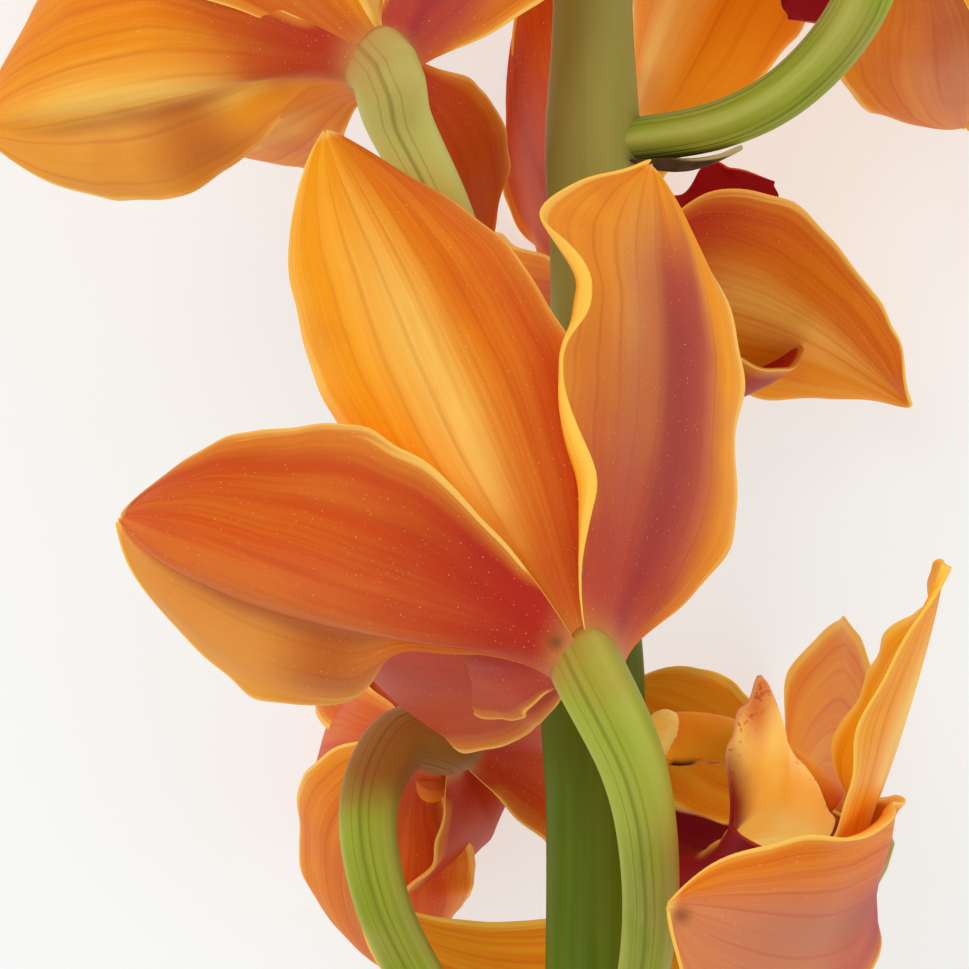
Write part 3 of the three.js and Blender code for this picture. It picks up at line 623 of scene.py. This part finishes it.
class Value:
    """A number that varies over a surface. Sums and products of it add Math nodes."""

    def __init__(self, finish, socket):
        self.finish = finish
        self.socket = socket

    def maths(self, operation, a, b=None):
        inputs = {0: a} if b is None else {0: a, 1: b}
        node = self.finish.node("ShaderNodeMath", {"operation": operation}, inputs)
        return Value(self.finish, node.outputs[0])

    def __add__(self, other):
        return self.maths("ADD", self, other)

    __radd__ = __add__

    def __sub__(self, other):
        return self.maths("SUBTRACT", self, other)

    def __rsub__(self, other):
        return self.maths("SUBTRACT", other, self)

    def __mul__(self, other):
        return self.maths("MULTIPLY", self, other)

    __rmul__ = __mul__

    def __neg__(self):
        return self.maths("MULTIPLY", self, -1.0)

    def __abs__(self):
        return self.maths("ABSOLUTE", self)

    def fraction(self):
        return self.maths("FRACT", self)

    def at_most(self, other):
        return self.maths("MINIMUM", self, other)

    def at_least(self, other):
        return self.maths("MAXIMUM", self, other)

    def between(self, low, high):
        """Eases from 0 at `low` to 1 at `high`; with low over high it eases the other way."""
        turned = low > high
        low, high = min(low, high), max(low, high)
        node = self.finish.node(
            "ShaderNodeMapRange", {"interpolation_type": "SMOOTHSTEP"},
            {"Value": self, "From Min": low, "From Max": high,
             "To Min": 1.0 if turned else 0.0, "To Max": 0.0 if turned else 1.0})
        return Value(self.finish, node.outputs["Result"])


class Finish:
    """A material. Constants are set on the shader; what varies is given as a Value or a colour."""

    def __init__(self, name, **constants):
        self.material = bpy.data.materials.new(name)
        self.material.use_nodes = True
        self.tree = self.material.node_tree
        self.coordinates = {}
        self.base = None
        self.shader = self.tree.nodes["Principled BSDF"]
        for socket, value in constants.items():
            self.shader.inputs[socket.replace("_", " ")].default_value = value

    def node(self, kind, settings, inputs):
        node = self.tree.nodes.new(kind)
        for key, value in settings.items():
            setattr(node, key, value)
        for key, value in inputs.items():
            value = value.socket if isinstance(value, Value) else value
            if isinstance(value, bpy.types.NodeSocket):
                self.tree.links.new(value, node.inputs[key])
            else:
                node.inputs[key].default_value = value
        return node

    def numbers(self, kind, settings, output):
        """The three numbers of a node's vector. The same node is made once in a finish."""
        key = (kind, *settings.values())
        if key not in self.coordinates:
            node = self.node(kind, settings, {})
            parts = self.node("ShaderNodeSeparateXYZ", {}, {0: node.outputs[output]})
            self.coordinates[key] = tuple(Value(self, out) for out in parts.outputs)
        return self.coordinates[key]

    def map(self):
        """Share along the piece, and share across it."""
        return self.numbers("ShaderNodeUVMap", {"uv_map": "UVMap"}, "UV")[:2]

    def place(self):
        return self.numbers("ShaderNodeTexCoord", {}, "Object")

    def mark(self, name):
        """The three numbers of a vector that the piece carries."""
        return self.numbers("ShaderNodeAttribute", {"attribute_name": name}, "Vector")

    def vector(self, x, y, z):
        return self.node("ShaderNodeCombineXYZ", {}, {0: x, 1: y, 2: z}).outputs[0]

    def noise(self, x, y, z, detail=2.0):
        node = self.node("ShaderNodeTexNoise", {}, {
            "Vector": self.vector(x, y, z), "Scale": 1.0, "Detail": detail})
        return Value(self, node.outputs["Fac"])

    def cloud(self, scale, detail=2.0):
        """Noise in space, at `scale` to the metre."""
        x, y, z = self.place()
        return self.noise(x * scale, y * scale, z * scale, detail)

    def mix(self, factor, a, b):
        """A colour between two, given in screen values or as what another mix has made."""
        a, b = (colour(*c) if isinstance(c, tuple) else c for c in (a, b))
        node = self.node("ShaderNodeMix", {"data_type": "RGBA", "clamp_factor": True},
                         {0: factor, 6: a, 7: b})
        return node.outputs[2]

    def start(self, factor, a, b):
        """Begins with a colour between two."""
        self.base = self.mix(factor, a, b)

    def coat(self, factor, tint):
        """Lays a colour over what is there."""
        self.base = self.mix(factor, self.base, tint)

    def paint(self, height=None, depth=0.1, own_glow=False):
        """Ends the finish, with `height` as its relief; a glow in its own colour paints light
        through it.
        """
        links = self.tree.links
        links.new(self.base, self.shader.inputs["Base Color"])
        # painted light: the base colour glows as well, standing in for light that passes through a
        # thin blade
        if own_glow:
            links.new(self.base, self.shader.inputs["Emission Color"])
        if height is not None:
            bump = self.node("ShaderNodeBump", {}, {
                "Height": height, "Strength": 0.6, "Distance": depth * MM})
            links.new(bump.outputs[0], self.shader.inputs["Normal"])
        return self.material


LIVING = dict(Roughness=0.48, Specular_IOR_Level=0.11)
THIN_GLOWING = dict(Roughness=0.48, Specular_IOR_Level=0.1, Emission_Strength=0.12)  # glow in their own colour: painted light standing in for light through the blade
# the outside of the lip glows twice as much: painted light that lifts it out of shade
THIN_GLOWING_MORE = dict(THIN_GLOWING, Emission_Strength=0.24)
# Dry scars: a point in the raceme's plane, how high they begin, and their reach.
SCARS = ((-6.2, 49.2, 96, 1.8), (6.4, 21.8, 50, 2.2))
PETAL_VEINS = 10
SHEATH_VEINS = 24


def bruise(finish, place, cloud, x, y, above, reach):
    """A dry brown mark round a point in the raceme's plane, in millimetres, on what lies above."""
    spot = finish.node("ShaderNodeVectorMath", {"operation": "DISTANCE"}, {
        0: finish.vector(place[0], place[1], 0.0), 1: (x * MM, y * MM, 0.0)})
    near = (Value(finish, spot.outputs["Value"]) + (cloud - 0.5) * 4 * MM).between(reach * MM, 0.0)
    return near * place[2].between((above - 2) * MM, above * MM)


def veins(finish, u, v, seed, count):
    """Soft dark veins from foot to tip, and a streaked flesh between them, both from 0 to 1."""
    sway = finish.noise(u * 1.8, v * 3, seed * 40, 0.0)
    across = v + 0.1 * (sway - 0.5)
    line = abs((across * count).fraction() - 0.5).between(0.36, 0.5)
    wide = finish.noise(u * 1.1, across * count, seed * 9, 1.0)
    fine = finish.noise(u * 3, across * count * 6, seed * 21, 2.0)
    return line * wide.between(0.62, 0.4), (wide * 0.6 + fine * 0.4).between(0.38, 0.64)


def petal_back():
    finish = Finish("back of sepals and petals", **THIN_GLOWING)
    u, v = finish.map()
    rose, gold, seed = finish.mark("tint")
    centre, red, slope = finish.mark("flush")
    x, y, z = finish.place()
    off = abs(v - 0.5) * 2
    cloud = finish.cloud(75)
    lines, streaks = veins(finish, u, v, seed, PETAL_VEINS)
    tilt = slope * (v * 2 - 1)
    gilt = (gold + tilt).at_most(1.0)
    finish.start(gilt, (210, 80, 12), (242, 150, 8))
    finish.coat(-gilt, (152, 34, 12))
    finish.coat(streaks * 0.32 * (gilt + 0.6), (250, 172, 48))
    # pale golden middle of the blade: partly its own gold, partly a painted highlight
    gold_centre_and_highlight = abs(v - 0.44).between(0.24, 0.0) * u.between(0.1, 0.35) * u.between(0.98, 0.6)
    finish.coat(gold_centre_and_highlight * gilt * (0.55 + streaks * 0.4), (250, 212, 106))
    finish.coat(cloud.between(0.5, 0.25) * 0.3, (200, 78, 28))
    aside = ((v - centre) * 1.9).at_least(centre - v)
    band = (aside * (0.6 + 1.9 * u) + 0.25 * (cloud - 0.5)).between(0.92, 0.2)
    band = band * u.between(1.02, 0.72)
    finish.coat(rose * band * 0.9, (182, 72, 60))
    # darker mauve along the middle of the rose: partly a deeper rose, partly painted shade on the
    # keel
    deep_rose_and_keel_shade = (abs(v - centre) * 2).between(0.3, 0.0) * u.between(0.9, 0.6)
    finish.coat(rose * deep_rose_and_keel_shade * 0.55, (138, 50, 62))
    foot = (u + 0.16 * off + 0.2 * (cloud - 0.5) + 0.5 * tilt).between(0.5, 0.02)
    finish.coat(foot * red * 0.9, (172, 30, 24))
    valley, folded, pale = finish.mark("fold")
    faded = (v + 0.3 * (cloud - 0.5)).between(0.9, 0.6) * u.between(0.4, 0.62)
    finish.coat(faded * pale, (216, 146, 106))
    lobe = (v - valley).between(0.02, -0.05) * u.between(0.3, 0.45)
    finish.coat(lobe * folded * 0.75, (228, 156, 70))
    # painted shade on the lower lobe beneath the fold, towards the foot
    finish.coat(lobe * folded * u.between(0.64, 0.46) * 0.85, (186, 84, 22))
    shade = abs(v - valley + 0.02).between(0.07, 0.0) * u.between(0.2, 0.4) * u.between(0.97, 0.7)
    finish.coat(shade * folded * 0.5, (160, 66, 40))
    finish.coat(lines * 0.24 * off.between(1.0, 0.8), (168, 60, 28))
    rim = (off + 0.06 * (streaks - 0.5)) * u.between(0.0, 0.12)
    finish.coat(rim.between(0.72, 0.95) * 0.4, (246, 166, 56))
    edge = rim.between(0.91, 0.99).at_least(u.between(0.975, 1.0))
    finish.coat(edge * 0.75, (252, 206, 104))
    finish.coat(u.between(0.08, 0.0) * 0.75, (204, 148, 78))
    for scar in SCARS:
        finish.coat(bruise(finish, (x, y, z), cloud, *scar) * 0.8, (112, 62, 30))
    dots = finish.cloud(5200, 0.0).between(0.79, 0.84)
    finish.coat(dots * 0.4, (252, 206, 150))
    return finish.paint(height=streaks - lines, depth=0.02, own_glow=True)


def petal_front():
    finish = Finish("face of sepals and petals", **THIN_GLOWING)
    u, v = finish.map()
    _, gold, seed = finish.mark("tint")
    off = abs(v - 0.5) * 2
    cloud = finish.cloud(75)
    lines, streaks = veins(finish, u, v, seed, PETAL_VEINS)
    bright = (gold + 1.0).at_most(1.0)
    finish.start(gold, (232, 112, 20), (250, 166, 20))
    finish.coat(-gold, (168, 34, 12))
    finish.coat(streaks * 0.4 * bright, (252, 190, 40))
    foot = (u + 0.2 * bright * gold + 0.25 * (cloud - 0.5)).between(0.42, 0.0)
    finish.coat(foot * 0.75, (166, 30, 14))
    finish.coat(lines * 0.25 * off.between(1.0, 0.8), (200, 66, 14))
    edge = (off + 0.05 * (streaks - 0.5)).between(0.84, 0.95).at_least(u.between(0.965, 1.0))
    finish.coat(edge * 0.85 * (bright * 0.6 + 0.4), (254, 204, 84))
    return finish.paint(height=streaks - lines, depth=0.02, own_glow=True)


def ovary_top():
    finish = Finish("top of the ovary", **LIVING)
    cloud = finish.cloud(400)
    finish.start(cloud.between(0.3, 0.7), (206, 116, 58), (182, 72, 42))
    return finish.paint()


def lip_outside():
    finish = Finish("outside of the lip", **THIN_GLOWING_MORE)
    u, v = finish.map()
    off = abs(v - 0.5) * 2
    cloud = finish.cloud(90, 3.0)
    finish.start(cloud.between(0.3, 0.7), (254, 220, 120), (250, 200, 76))
    corner = (off + u * 1.4 + 0.1 * (cloud - 0.5)).between(1.2, 1.5) * u.between(0.52, 0.42)
    finish.coat(corner * 0.8, (212, 92, 48))
    red = (u + 0.1 * (cloud - 0.5)).between(0.46, 0.62)
    spots = finish.cloud(1500, 1.0).between(0.58, 0.66)
    near = off.between(0.75, 1.0) * 0.7
    finish.coat(spots * near, (176, 46, 34))
    finish.coat(red, (128, 16, 26))
    edge = off.between(0.955, 0.99) * u.between(0.6, 0.5)
    finish.coat(edge, (226, 160, 96))
    return finish.paint(own_glow=True)


def lip_inside():
    finish = Finish("inside of the lip", **THIN_GLOWING)
    u, v = finish.map()
    off = abs(v - 0.5) * 2
    cloud = finish.cloud(90, 3.0)
    finish.start(cloud.between(0.3, 0.7), (120, 12, 24), (150, 22, 26))
    middle = (off + 0.1 * (cloud - 0.5)).between(0.36, 0.2) * u.between(0.62, 0.5)
    finish.coat(middle, (240, 184, 70))
    spots = finish.cloud(800, 1.0).between(0.58, 0.66)
    finish.coat(spots * middle, (160, 30, 28))
    rim = off.between(0.93, 1.0) * u.between(0.66, 0.8)
    finish.coat(rim * 0.8, (206, 92, 60))
    finish.coat(off.between(0.92, 0.97) * u.between(0.62, 0.55), (232, 168, 104))
    return finish.paint(own_glow=True)


def column_skin():
    finish = Finish("column", **THIN_GLOWING)
    u, v = finish.map()
    under = abs(v - 0.5).between(0.2, 0.1)
    cloud = finish.cloud(120)
    finish.start(cloud.between(0.3, 0.7), (246, 166, 30), (236, 134, 22))
    finish.coat(u.between(0.3, 0.0), (208, 92, 30))
    spots = finish.cloud(900, 1.0).between(0.6, 0.68)
    finish.coat(spots * under * 0.8, (150, 30, 28))
    stigma = under * u.between(0.78, 0.82) * u.between(0.93, 0.9)
    finish.coat(stigma, (52, 14, 12))
    return finish.paint(own_glow=True)


def anther_cap():
    finish = Finish("anther cap", **THIN_GLOWING)
    cloud = finish.cloud(500)
    finish.start(cloud.between(0.3, 0.7), (252, 222, 120), (248, 200, 84))
    return finish.paint(own_glow=True)


def pedicel_skin():
    finish = Finish("pedicel", **LIVING)
    u, v = finish.map()
    cloud = finish.cloud(90, 3.0)
    streaks = finish.noise(u * 3, v * 26, 2.0, 3.0)
    neck, deep, pale = finish.mark("tint")
    finish.start(streaks.between(0.32, 0.7), (140, 152, 34), (164, 172, 56))
    finish.coat(cloud.between(0.42, 0.7) * 0.4, (186, 164, 90))
    finish.coat(u.between(0.3, 0.0) * 0.5, (124, 152, 48))
    rib = abs((v * 3 + 0.08 * (cloud - 0.5)).fraction() - 0.5)
    finish.coat(rib.between(0.25, 0.5) * 0.45, (204, 204, 110))
    finish.coat(u.between(0.55, 0.8) * 0.4, (186, 202, 62))
    # painted highlight: paler towards the flower, as far as the pedicel's pale mark says
    finish.coat(pale * u.between(0.3, 0.7), (222, 214, 132))
    groove = (rib + 0.05 * (streaks - 0.5)).between(0.055, 0.0).at_least(
        abs(rib - 0.17).between(0.025, 0.0) * 0.5)
    finish.coat(groove * 0.5 * u.between(0.05, 0.3), (98, 118, 24))
    flush = (u - neck + 0.1 * (cloud - 0.5)).between(0.0, 0.1)
    finish.coat(flush * 0.8, finish.mix(deep, (196, 116, 58), (164, 70, 34)))
    finish.coat(u.between(0.06, 0.0) * 0.8, (128, 130, 52))
    return finish.paint(height=streaks - groove * 2, depth=0.1)


def stem_skin():
    finish = Finish("stem", **LIVING)
    x, y, z = finish.place()
    cloud = finish.noise(x * 60, y * 22, z * 60, 3.0)
    finish.start(cloud.between(0.3, 0.7), (80, 102, 6), (98, 118, 12))
    upper = (y + 0.02 * (cloud - 0.5)).between(0.05, 0.085)
    finish.coat(upper, (164, 154, 76))
    streaks = finish.noise(x * 700, y * 14, z * 700, 3.0).between(0.35, 0.7)
    finish.coat(streaks * 0.3, (128, 146, 62))
    return finish.paint(height=streaks, depth=0.05)


def cut_face():
    finish = Finish("cut end", Roughness=0.5)
    x, y, z = finish.place()
    dots = finish.noise(x * 1800, y * 200, z * 1800, 1.0).between(0.55, 0.7)
    finish.start(dots, (206, 214, 150), (150, 170, 84))
    return finish.paint()


def bract_skin():
    finish = Finish("dry bract", Roughness=0.8, Specular_IOR_Level=0.2)
    u, v = finish.map()
    off = abs(v - 0.5) * 2
    ragged = finish.cloud(300, 3.0)
    finish.start(ragged.between(0.35, 0.65), (48, 32, 18), (92, 66, 36))
    pale = (off * 0.3 + u * 0.8 + 0.5 * (ragged - 0.5)).between(0.6, 0.85)
    finish.coat(pale, (196, 172, 120))
    return finish.paint(height=ragged, depth=0.2)


def sheath_skin():
    finish = Finish("papery sheath", Roughness=0.7, Specular_IOR_Level=0.25)
    u, v = finish.map()
    x, y, z = finish.place()
    lines, _ = veins(finish, u, v, 0.7, SHEATH_VEINS)
    cloud = finish.noise(x * 60, y * 30, z * 60, 4.0)
    finish.start(cloud.between(0.35, 0.65), (196, 176, 122), (168, 148, 92))
    finish.coat(u.between(0.35, 0.0) * 0.7, (140, 150, 76))
    finish.coat(lines * 0.35, (128, 104, 60))
    off = abs(v - 0.5) * 2
    edge = (off + 0.2 * (cloud - 0.5)).between(0.86, 1.0).at_least(u.between(0.85, 1.0))
    finish.coat(edge * 0.8, (116, 84, 48))
    return finish.paint(height=1 - lines, depth=0.15)


def bud_skin():
    finish = Finish("bud", **LIVING)
    u, v = finish.map()
    cloud = finish.cloud(90, 3.0)
    ripe = (u + 0.2 * (cloud - 0.5)).between(0.3, 0.75)
    finish.start(ripe, (152, 168, 72), (206, 168, 72))
    finish.coat(u.between(0.8, 1.0) * 0.7, (210, 128, 62))
    seam = abs((v * 3).fraction() - 0.5).between(0.06, 0.0) * u.between(0.5, 0.62)
    streaks = finish.noise(u * 3, v * 40, 5.0, 3.0).between(0.4, 0.7)
    finish.coat(streaks * 0.3, (184, 108, 60))
    finish.coat(seam * 0.6, (150, 96, 44))
    return finish.paint(height=1 - seam, depth=0.3)


BACK, FRONT, OVARY_TOP = petal_back(), petal_front(), ovary_top()
LIP_OUT, LIP_IN = lip_outside(), lip_inside()
COLUMN, CAP = column_skin(), anther_cap()
PEDICEL, STEM, CUT = pedicel_skin(), stem_skin(), cut_face()
BRACT, SHEATH, BUD = bract_skin(), sheath_skin(), bud_skin()

# ---------- the stem ----------

stem_steps = np.linspace(0, 1, 401)
stem_line = smooth_path(STEM_ROUTE, stem_steps)


def stem_radius(share):
    return STEM_CUT_RADIUS + (STEM_TIP_RADIUS - STEM_CUT_RADIUS) * np.asarray(share) ** 2


def share_at(y):
    return np.interp(y, stem_line[:, 1], stem_steps)


def node_swell(y):
    swell = [np.exp(-((y - flower["stalk"][0][1]) / NODE_LENGTH) ** 2) for flower in FLOWERS]
    return NODE_SWELL * np.max(swell, axis=0)


def make_stem():
    steps = shares(220)
    path = smooth_path(STEM_ROUTE, steps)
    radius = closed_radius(stem_radius(steps) + node_swell(path[:, 1]))
    piece = lay_grid("stem_skin", rings(path, radius, 32, (0, 0, 1)), [STEM, CUT])
    for face in piece.data.polygons:
        if face.center.y < (path[0, 1] + ROW_SHIFT[1] + CUT_FACE) * MM:
            face.material_index = 1
    roll_up(piece)
    only(piece)
    bpy.ops.object.shade_smooth_by_angle(angle=math.radians(50))
    place(piece, "stem", "stem")


def make_sheath(number, foot, long):
    steps = np.linspace(0, 1, 31)
    share = share_at(foot + long * steps)
    centre = smooth_path(STEM_ROUTE, share)
    tangent = unit(np.gradient(centre, axis=0))
    radius = stem_radius(share) + SHEATH_GAP + BLADE + SHEATH_FLARE * steps ** 2
    wrap = np.radians(SHEATH_WRAP) * (1 - 0.8 * steps ** 3)
    across = np.linspace(-1, 1, 41)
    points = []
    for k, direction in enumerate(tangent):
        side = unit(np.cross(direction, (1.0, 0, 0)))
        second = np.cross(direction, side)
        angle = wrap[k] * across
        points.append(centre[k] + radius[k] * (np.cos(angle)[:, None] * side
                                               + np.sin(angle)[:, None] * second))
    piece = lay_grid(f"sheath_skin_{number}", np.array(points), [SHEATH, SHEATH])
    thicken(piece, SHEATH_THICKNESS)
    place(piece, f"sheath_{number}", "sheaths")


# ---------- the flowers ----------


def make_perianth(number, flower, bloom):
    rows, across = (34, ACROSS) if number <= NEAR_FLOWERS else (24, ACROSS_FAR)
    parts = []
    for index, (name, usual) in enumerate(TEPALS.items()):
        part = {**usual, **GROWN.get((number, name), {})}
        part["ragged"] = TORN if part["roll"][0] > 2 else 1
        depth, valley = part["crease"]
        columns = ACROSS_FINE if depth else across
        seed = (number * 5 + index) * 0.137 % 1
        rose, gold, centre, red, slope = part["colours"]
        blade = lay_grid(
            f"{name}_{number}", tepal_points(bloom, part, rows, columns, seed), [FRONT, BACK],
            columns, tint=(rose, gold, seed), flush=(centre, red, slope),
            fold=(valley / 2 + 0.5, depth / 3, part["washed"]))
        thicken(blade, BLADE)
        parts.append(blade)
    steps = np.linspace(0, 1, 9)
    ends = bloom.at + bloom.face * bloom.size * (-0.6 + 3.6 * steps)[:, None]
    radius = OVARY_TOP_RADIUS * bloom.size * np.array(OVARY_TOP_GIRTH)
    top = lay_grid(f"ovary_top_{number}", rings(ends, radius, 16, bloom.crown), [OVARY_TOP])
    roll_up(top, 1)
    place(join(f"flower_{number}_tepals", parts + [top]),
          f"flower_{number}_perianth", "petals")


def make_lip(number, flower, bloom):
    points = lip_points(bloom, flower, 36, 20)
    piece = lay_grid(f"flower_{number}_labellum", points, [LIP_IN, LIP_OUT])
    thicken(piece, BLADE)
    place(piece, f"flower_{number}_lip", "lip")


def make_column(number, flower, bloom):
    size = bloom.size
    length = COLUMN_LENGTH * flower.get("column_long", 1)
    route = [
        bloom.at + bloom.face * (COLUMN_LIFT + share * length) * size + bloom.crown * lift * size
        for share, lift in COLUMN_BEND]
    steps = shares(36)
    path = smooth_path(route, steps)
    radius = np.interp(steps, *COLUMN_GIRTH) * size
    body = lay_grid(f"column_body_{number}", rings(
        path, closed_radius(radius), 24, bloom.crown,
        lambda angle, share: -0.16 * np.maximum(-np.cos(angle), 0) ** 2 * (share > 0.1)), [COLUMN])
    roll_up(body)
    bpy.ops.object.select_all(action="DESELECT")
    ahead = unit(path[-2] - path[-8])
    upwards = np.cross(np.cross(ahead, bloom.crown), ahead)
    middle = path[-2] - ahead * CAP_BACK * size + upwards * CAP_UP * size
    bpy.ops.mesh.primitive_uv_sphere_add(
        segments=24, ring_count=14, radius=CAP_RADIUS * size * MM,
        location=Vector((middle + ROW_SHIFT) * MM),
        rotation=Vector(ahead).to_track_quat("Z", "Y").to_euler())
    cap = bpy.context.object
    cap.scale = (1.0, 1.0, 0.8)
    bpy.ops.object.transform_apply(location=True, rotation=True, scale=True)
    bpy.ops.object.shade_smooth()
    cap.data.materials.append(CAP)
    place(join(f"flower_{number}_column_and_cap", [body, cap]), f"flower_{number}_column", "column")


def make_pedicel(number, flower, bloom):
    size = bloom.size
    neck = size * flower.get("neck", 1)
    ends = [bloom.at - bloom.face * under * neck for under in (3.4, 1.2)]
    steps = shares(56)
    path = smooth_path([*flower["stalk"], *ends], steps)
    radius = size * (PEDICEL_RADIUS + (OVARY_RADIUS - PEDICEL_RADIUS) * steps ** 0.6)
    radius *= 1 + 0.3 * np.exp(-steps * 12) + 0.1 * smoothstep(steps, 0.7, 0.95)
    radius *= 0.72 + 0.28 * smoothstep(steps, 0.0, 0.1)

    def ribs(angle, share):
        return 0.09 * np.cos(3 * angle) + 0.02 * np.cos(6 * angle)

    piece = lay_grid(f"flower_{number}_stalk",
                     rings(path, closed_radius(radius), 36, bloom.crown, ribs), [PEDICEL],
                     tint=(flower.get("red_neck", USUAL_NECK), "red_neck" in flower,
                           flower.get("pale", 0)))
    roll_up(piece)
    place(piece, f"flower_{number}_pedicel", "pedicels")


def make_bract(number, flower):
    foot, towards = (np.array(p, float) for p in flower["stalk"][:2])
    outward = towards - foot
    outward[1] = 0
    outward = unit(outward)
    across = np.cross(outward, (0, 1.0, 0))
    share = float(share_at(foot[1] - BRACT_DROP))
    base = smooth_path(STEM_ROUTE, [share])[0]
    start = stem_radius(share) + node_swell(base[1]) - BRACT_SINK
    t = np.linspace(0, 1, 15)[:, None]
    v = np.linspace(-1, 1, 11)[None, :]
    half = BRACT_WIDTH / 2 * (1 - t ** 1.6) + 0.3
    reach = start + BRACT_LENGTH * t + 0 * v
    lift = 4.2 * t * t - 2 * t + 0.3 * half * np.abs(v) + 0.25 * np.sin(9 * t + 5 * v)
    points = (base + outward * reach[..., None] + across * (v * half)[..., None]
              + np.array((0, 1.0, 0)) * lift[..., None])
    piece = lay_grid(f"flower_{number}_scale", points, [BRACT, BRACT])
    thicken(piece, BRACT_THICKNESS)
    place(piece, f"flower_{number}_bract", "bracts")


def make_bud(number, route, radius):
    steps = shares(48)
    path = smooth_path(route, steps)
    shape = np.interp(steps, *BUD_GIRTH)
    shape = np.convolve(np.pad(shape, 2, mode="edge"), np.ones(5) / 5, mode="valid")

    def lobes(angle, share):
        return -0.07 * smoothstep(share, 0.45, 0.6) * np.abs(np.cos(1.5 * angle)) ** 12

    piece = lay_grid(f"closed_bud_{number}",
                     rings(path, closed_radius(shape * radius), 30, (0, 0, 1), lobes), [BUD])
    roll_up(piece)
    place(piece, f"bud_{number}", "buds")


make_stem()
for number, flower in enumerate(FLOWERS, 1):
    bloom = Bloom(flower)
    make_perianth(number, flower, bloom)
    make_lip(number, flower, bloom)
    make_column(number, flower, bloom)
    make_pedicel(number, flower, bloom)
    make_bract(number, flower)
for number, bud in enumerate(BUDS, 1):
    make_bud(number, bud["route"], bud["radius"])
for number, one in enumerate(SHEATHS, 1):
    make_sheath(number, one["foot"], one["long"])

# ---------- floor, light and camera ----------

VIEW_MIDDLE = (-11.905, 53.295)
VIEW_HEIGHT = 600
VIEW_WIDTH = 969 * 0.11  # millimetres in view at the stem's axis
SENSOR = 36  # the camera's own width, in millimetres
SKY = 0.64
LAMPS = (("key", (-1.4, 1.4, 2.6), 1.8, 27), ("fill", (1.9, -0.6, 1.9), 2.0, 9))


def make_stage():
    bpy.ops.object.select_all(action="DESELECT")
    bpy.ops.mesh.primitive_plane_add(size=24, location=(0, 0, -0.0002))
    floor = bpy.context.object
    floor.name = "floor"
    paper = Finish("pale floor", Roughness=0.9, Specular_IOR_Level=0.1,
                   Base_Color=(0.5, 0.53, 0.53, 1), Emission_Color=(0.98, 1, 0.985, 1),
                   Emission_Strength=0.53)
    floor.data.materials.append(paper.material)
    world = bpy.data.worlds.new("studio")
    bpy.context.scene.world = world
    world.use_nodes = True
    sky = world.node_tree.nodes["Background"]
    sky.inputs["Color"].default_value = (1, 1, 1, 1)
    sky.inputs["Strength"].default_value = SKY
    for name, spot, width, power in LAMPS:
        bpy.ops.object.light_add(type="AREA", location=spot)
        lamp = bpy.context.object
        lamp.name = name
        lamp.data.size = width
        lamp.data.energy = power
        lamp.rotation_euler = (-Vector(spot)).to_track_quat("-Z", "Y").to_euler()
        lamp.visible_camera = False


def make_camera():
    x, y, z = (np.array((*VIEW_MIDDLE, VIEW_HEIGHT)) + ROW_SHIFT) * MM
    bpy.ops.object.camera_add(location=(x, y, z), rotation=(0, 0, 0))
    camera = bpy.context.object
    camera.data.sensor_width = SENSOR
    camera.data.lens = SENSOR * VIEW_HEIGHT / VIEW_WIDTH
    camera.data.clip_start = 0.01
    camera.data.clip_end = 100
    bpy.context.scene.camera = camera


make_stage()
make_camera()
bpy.context.scene.view_settings.view_transform = "Standard"
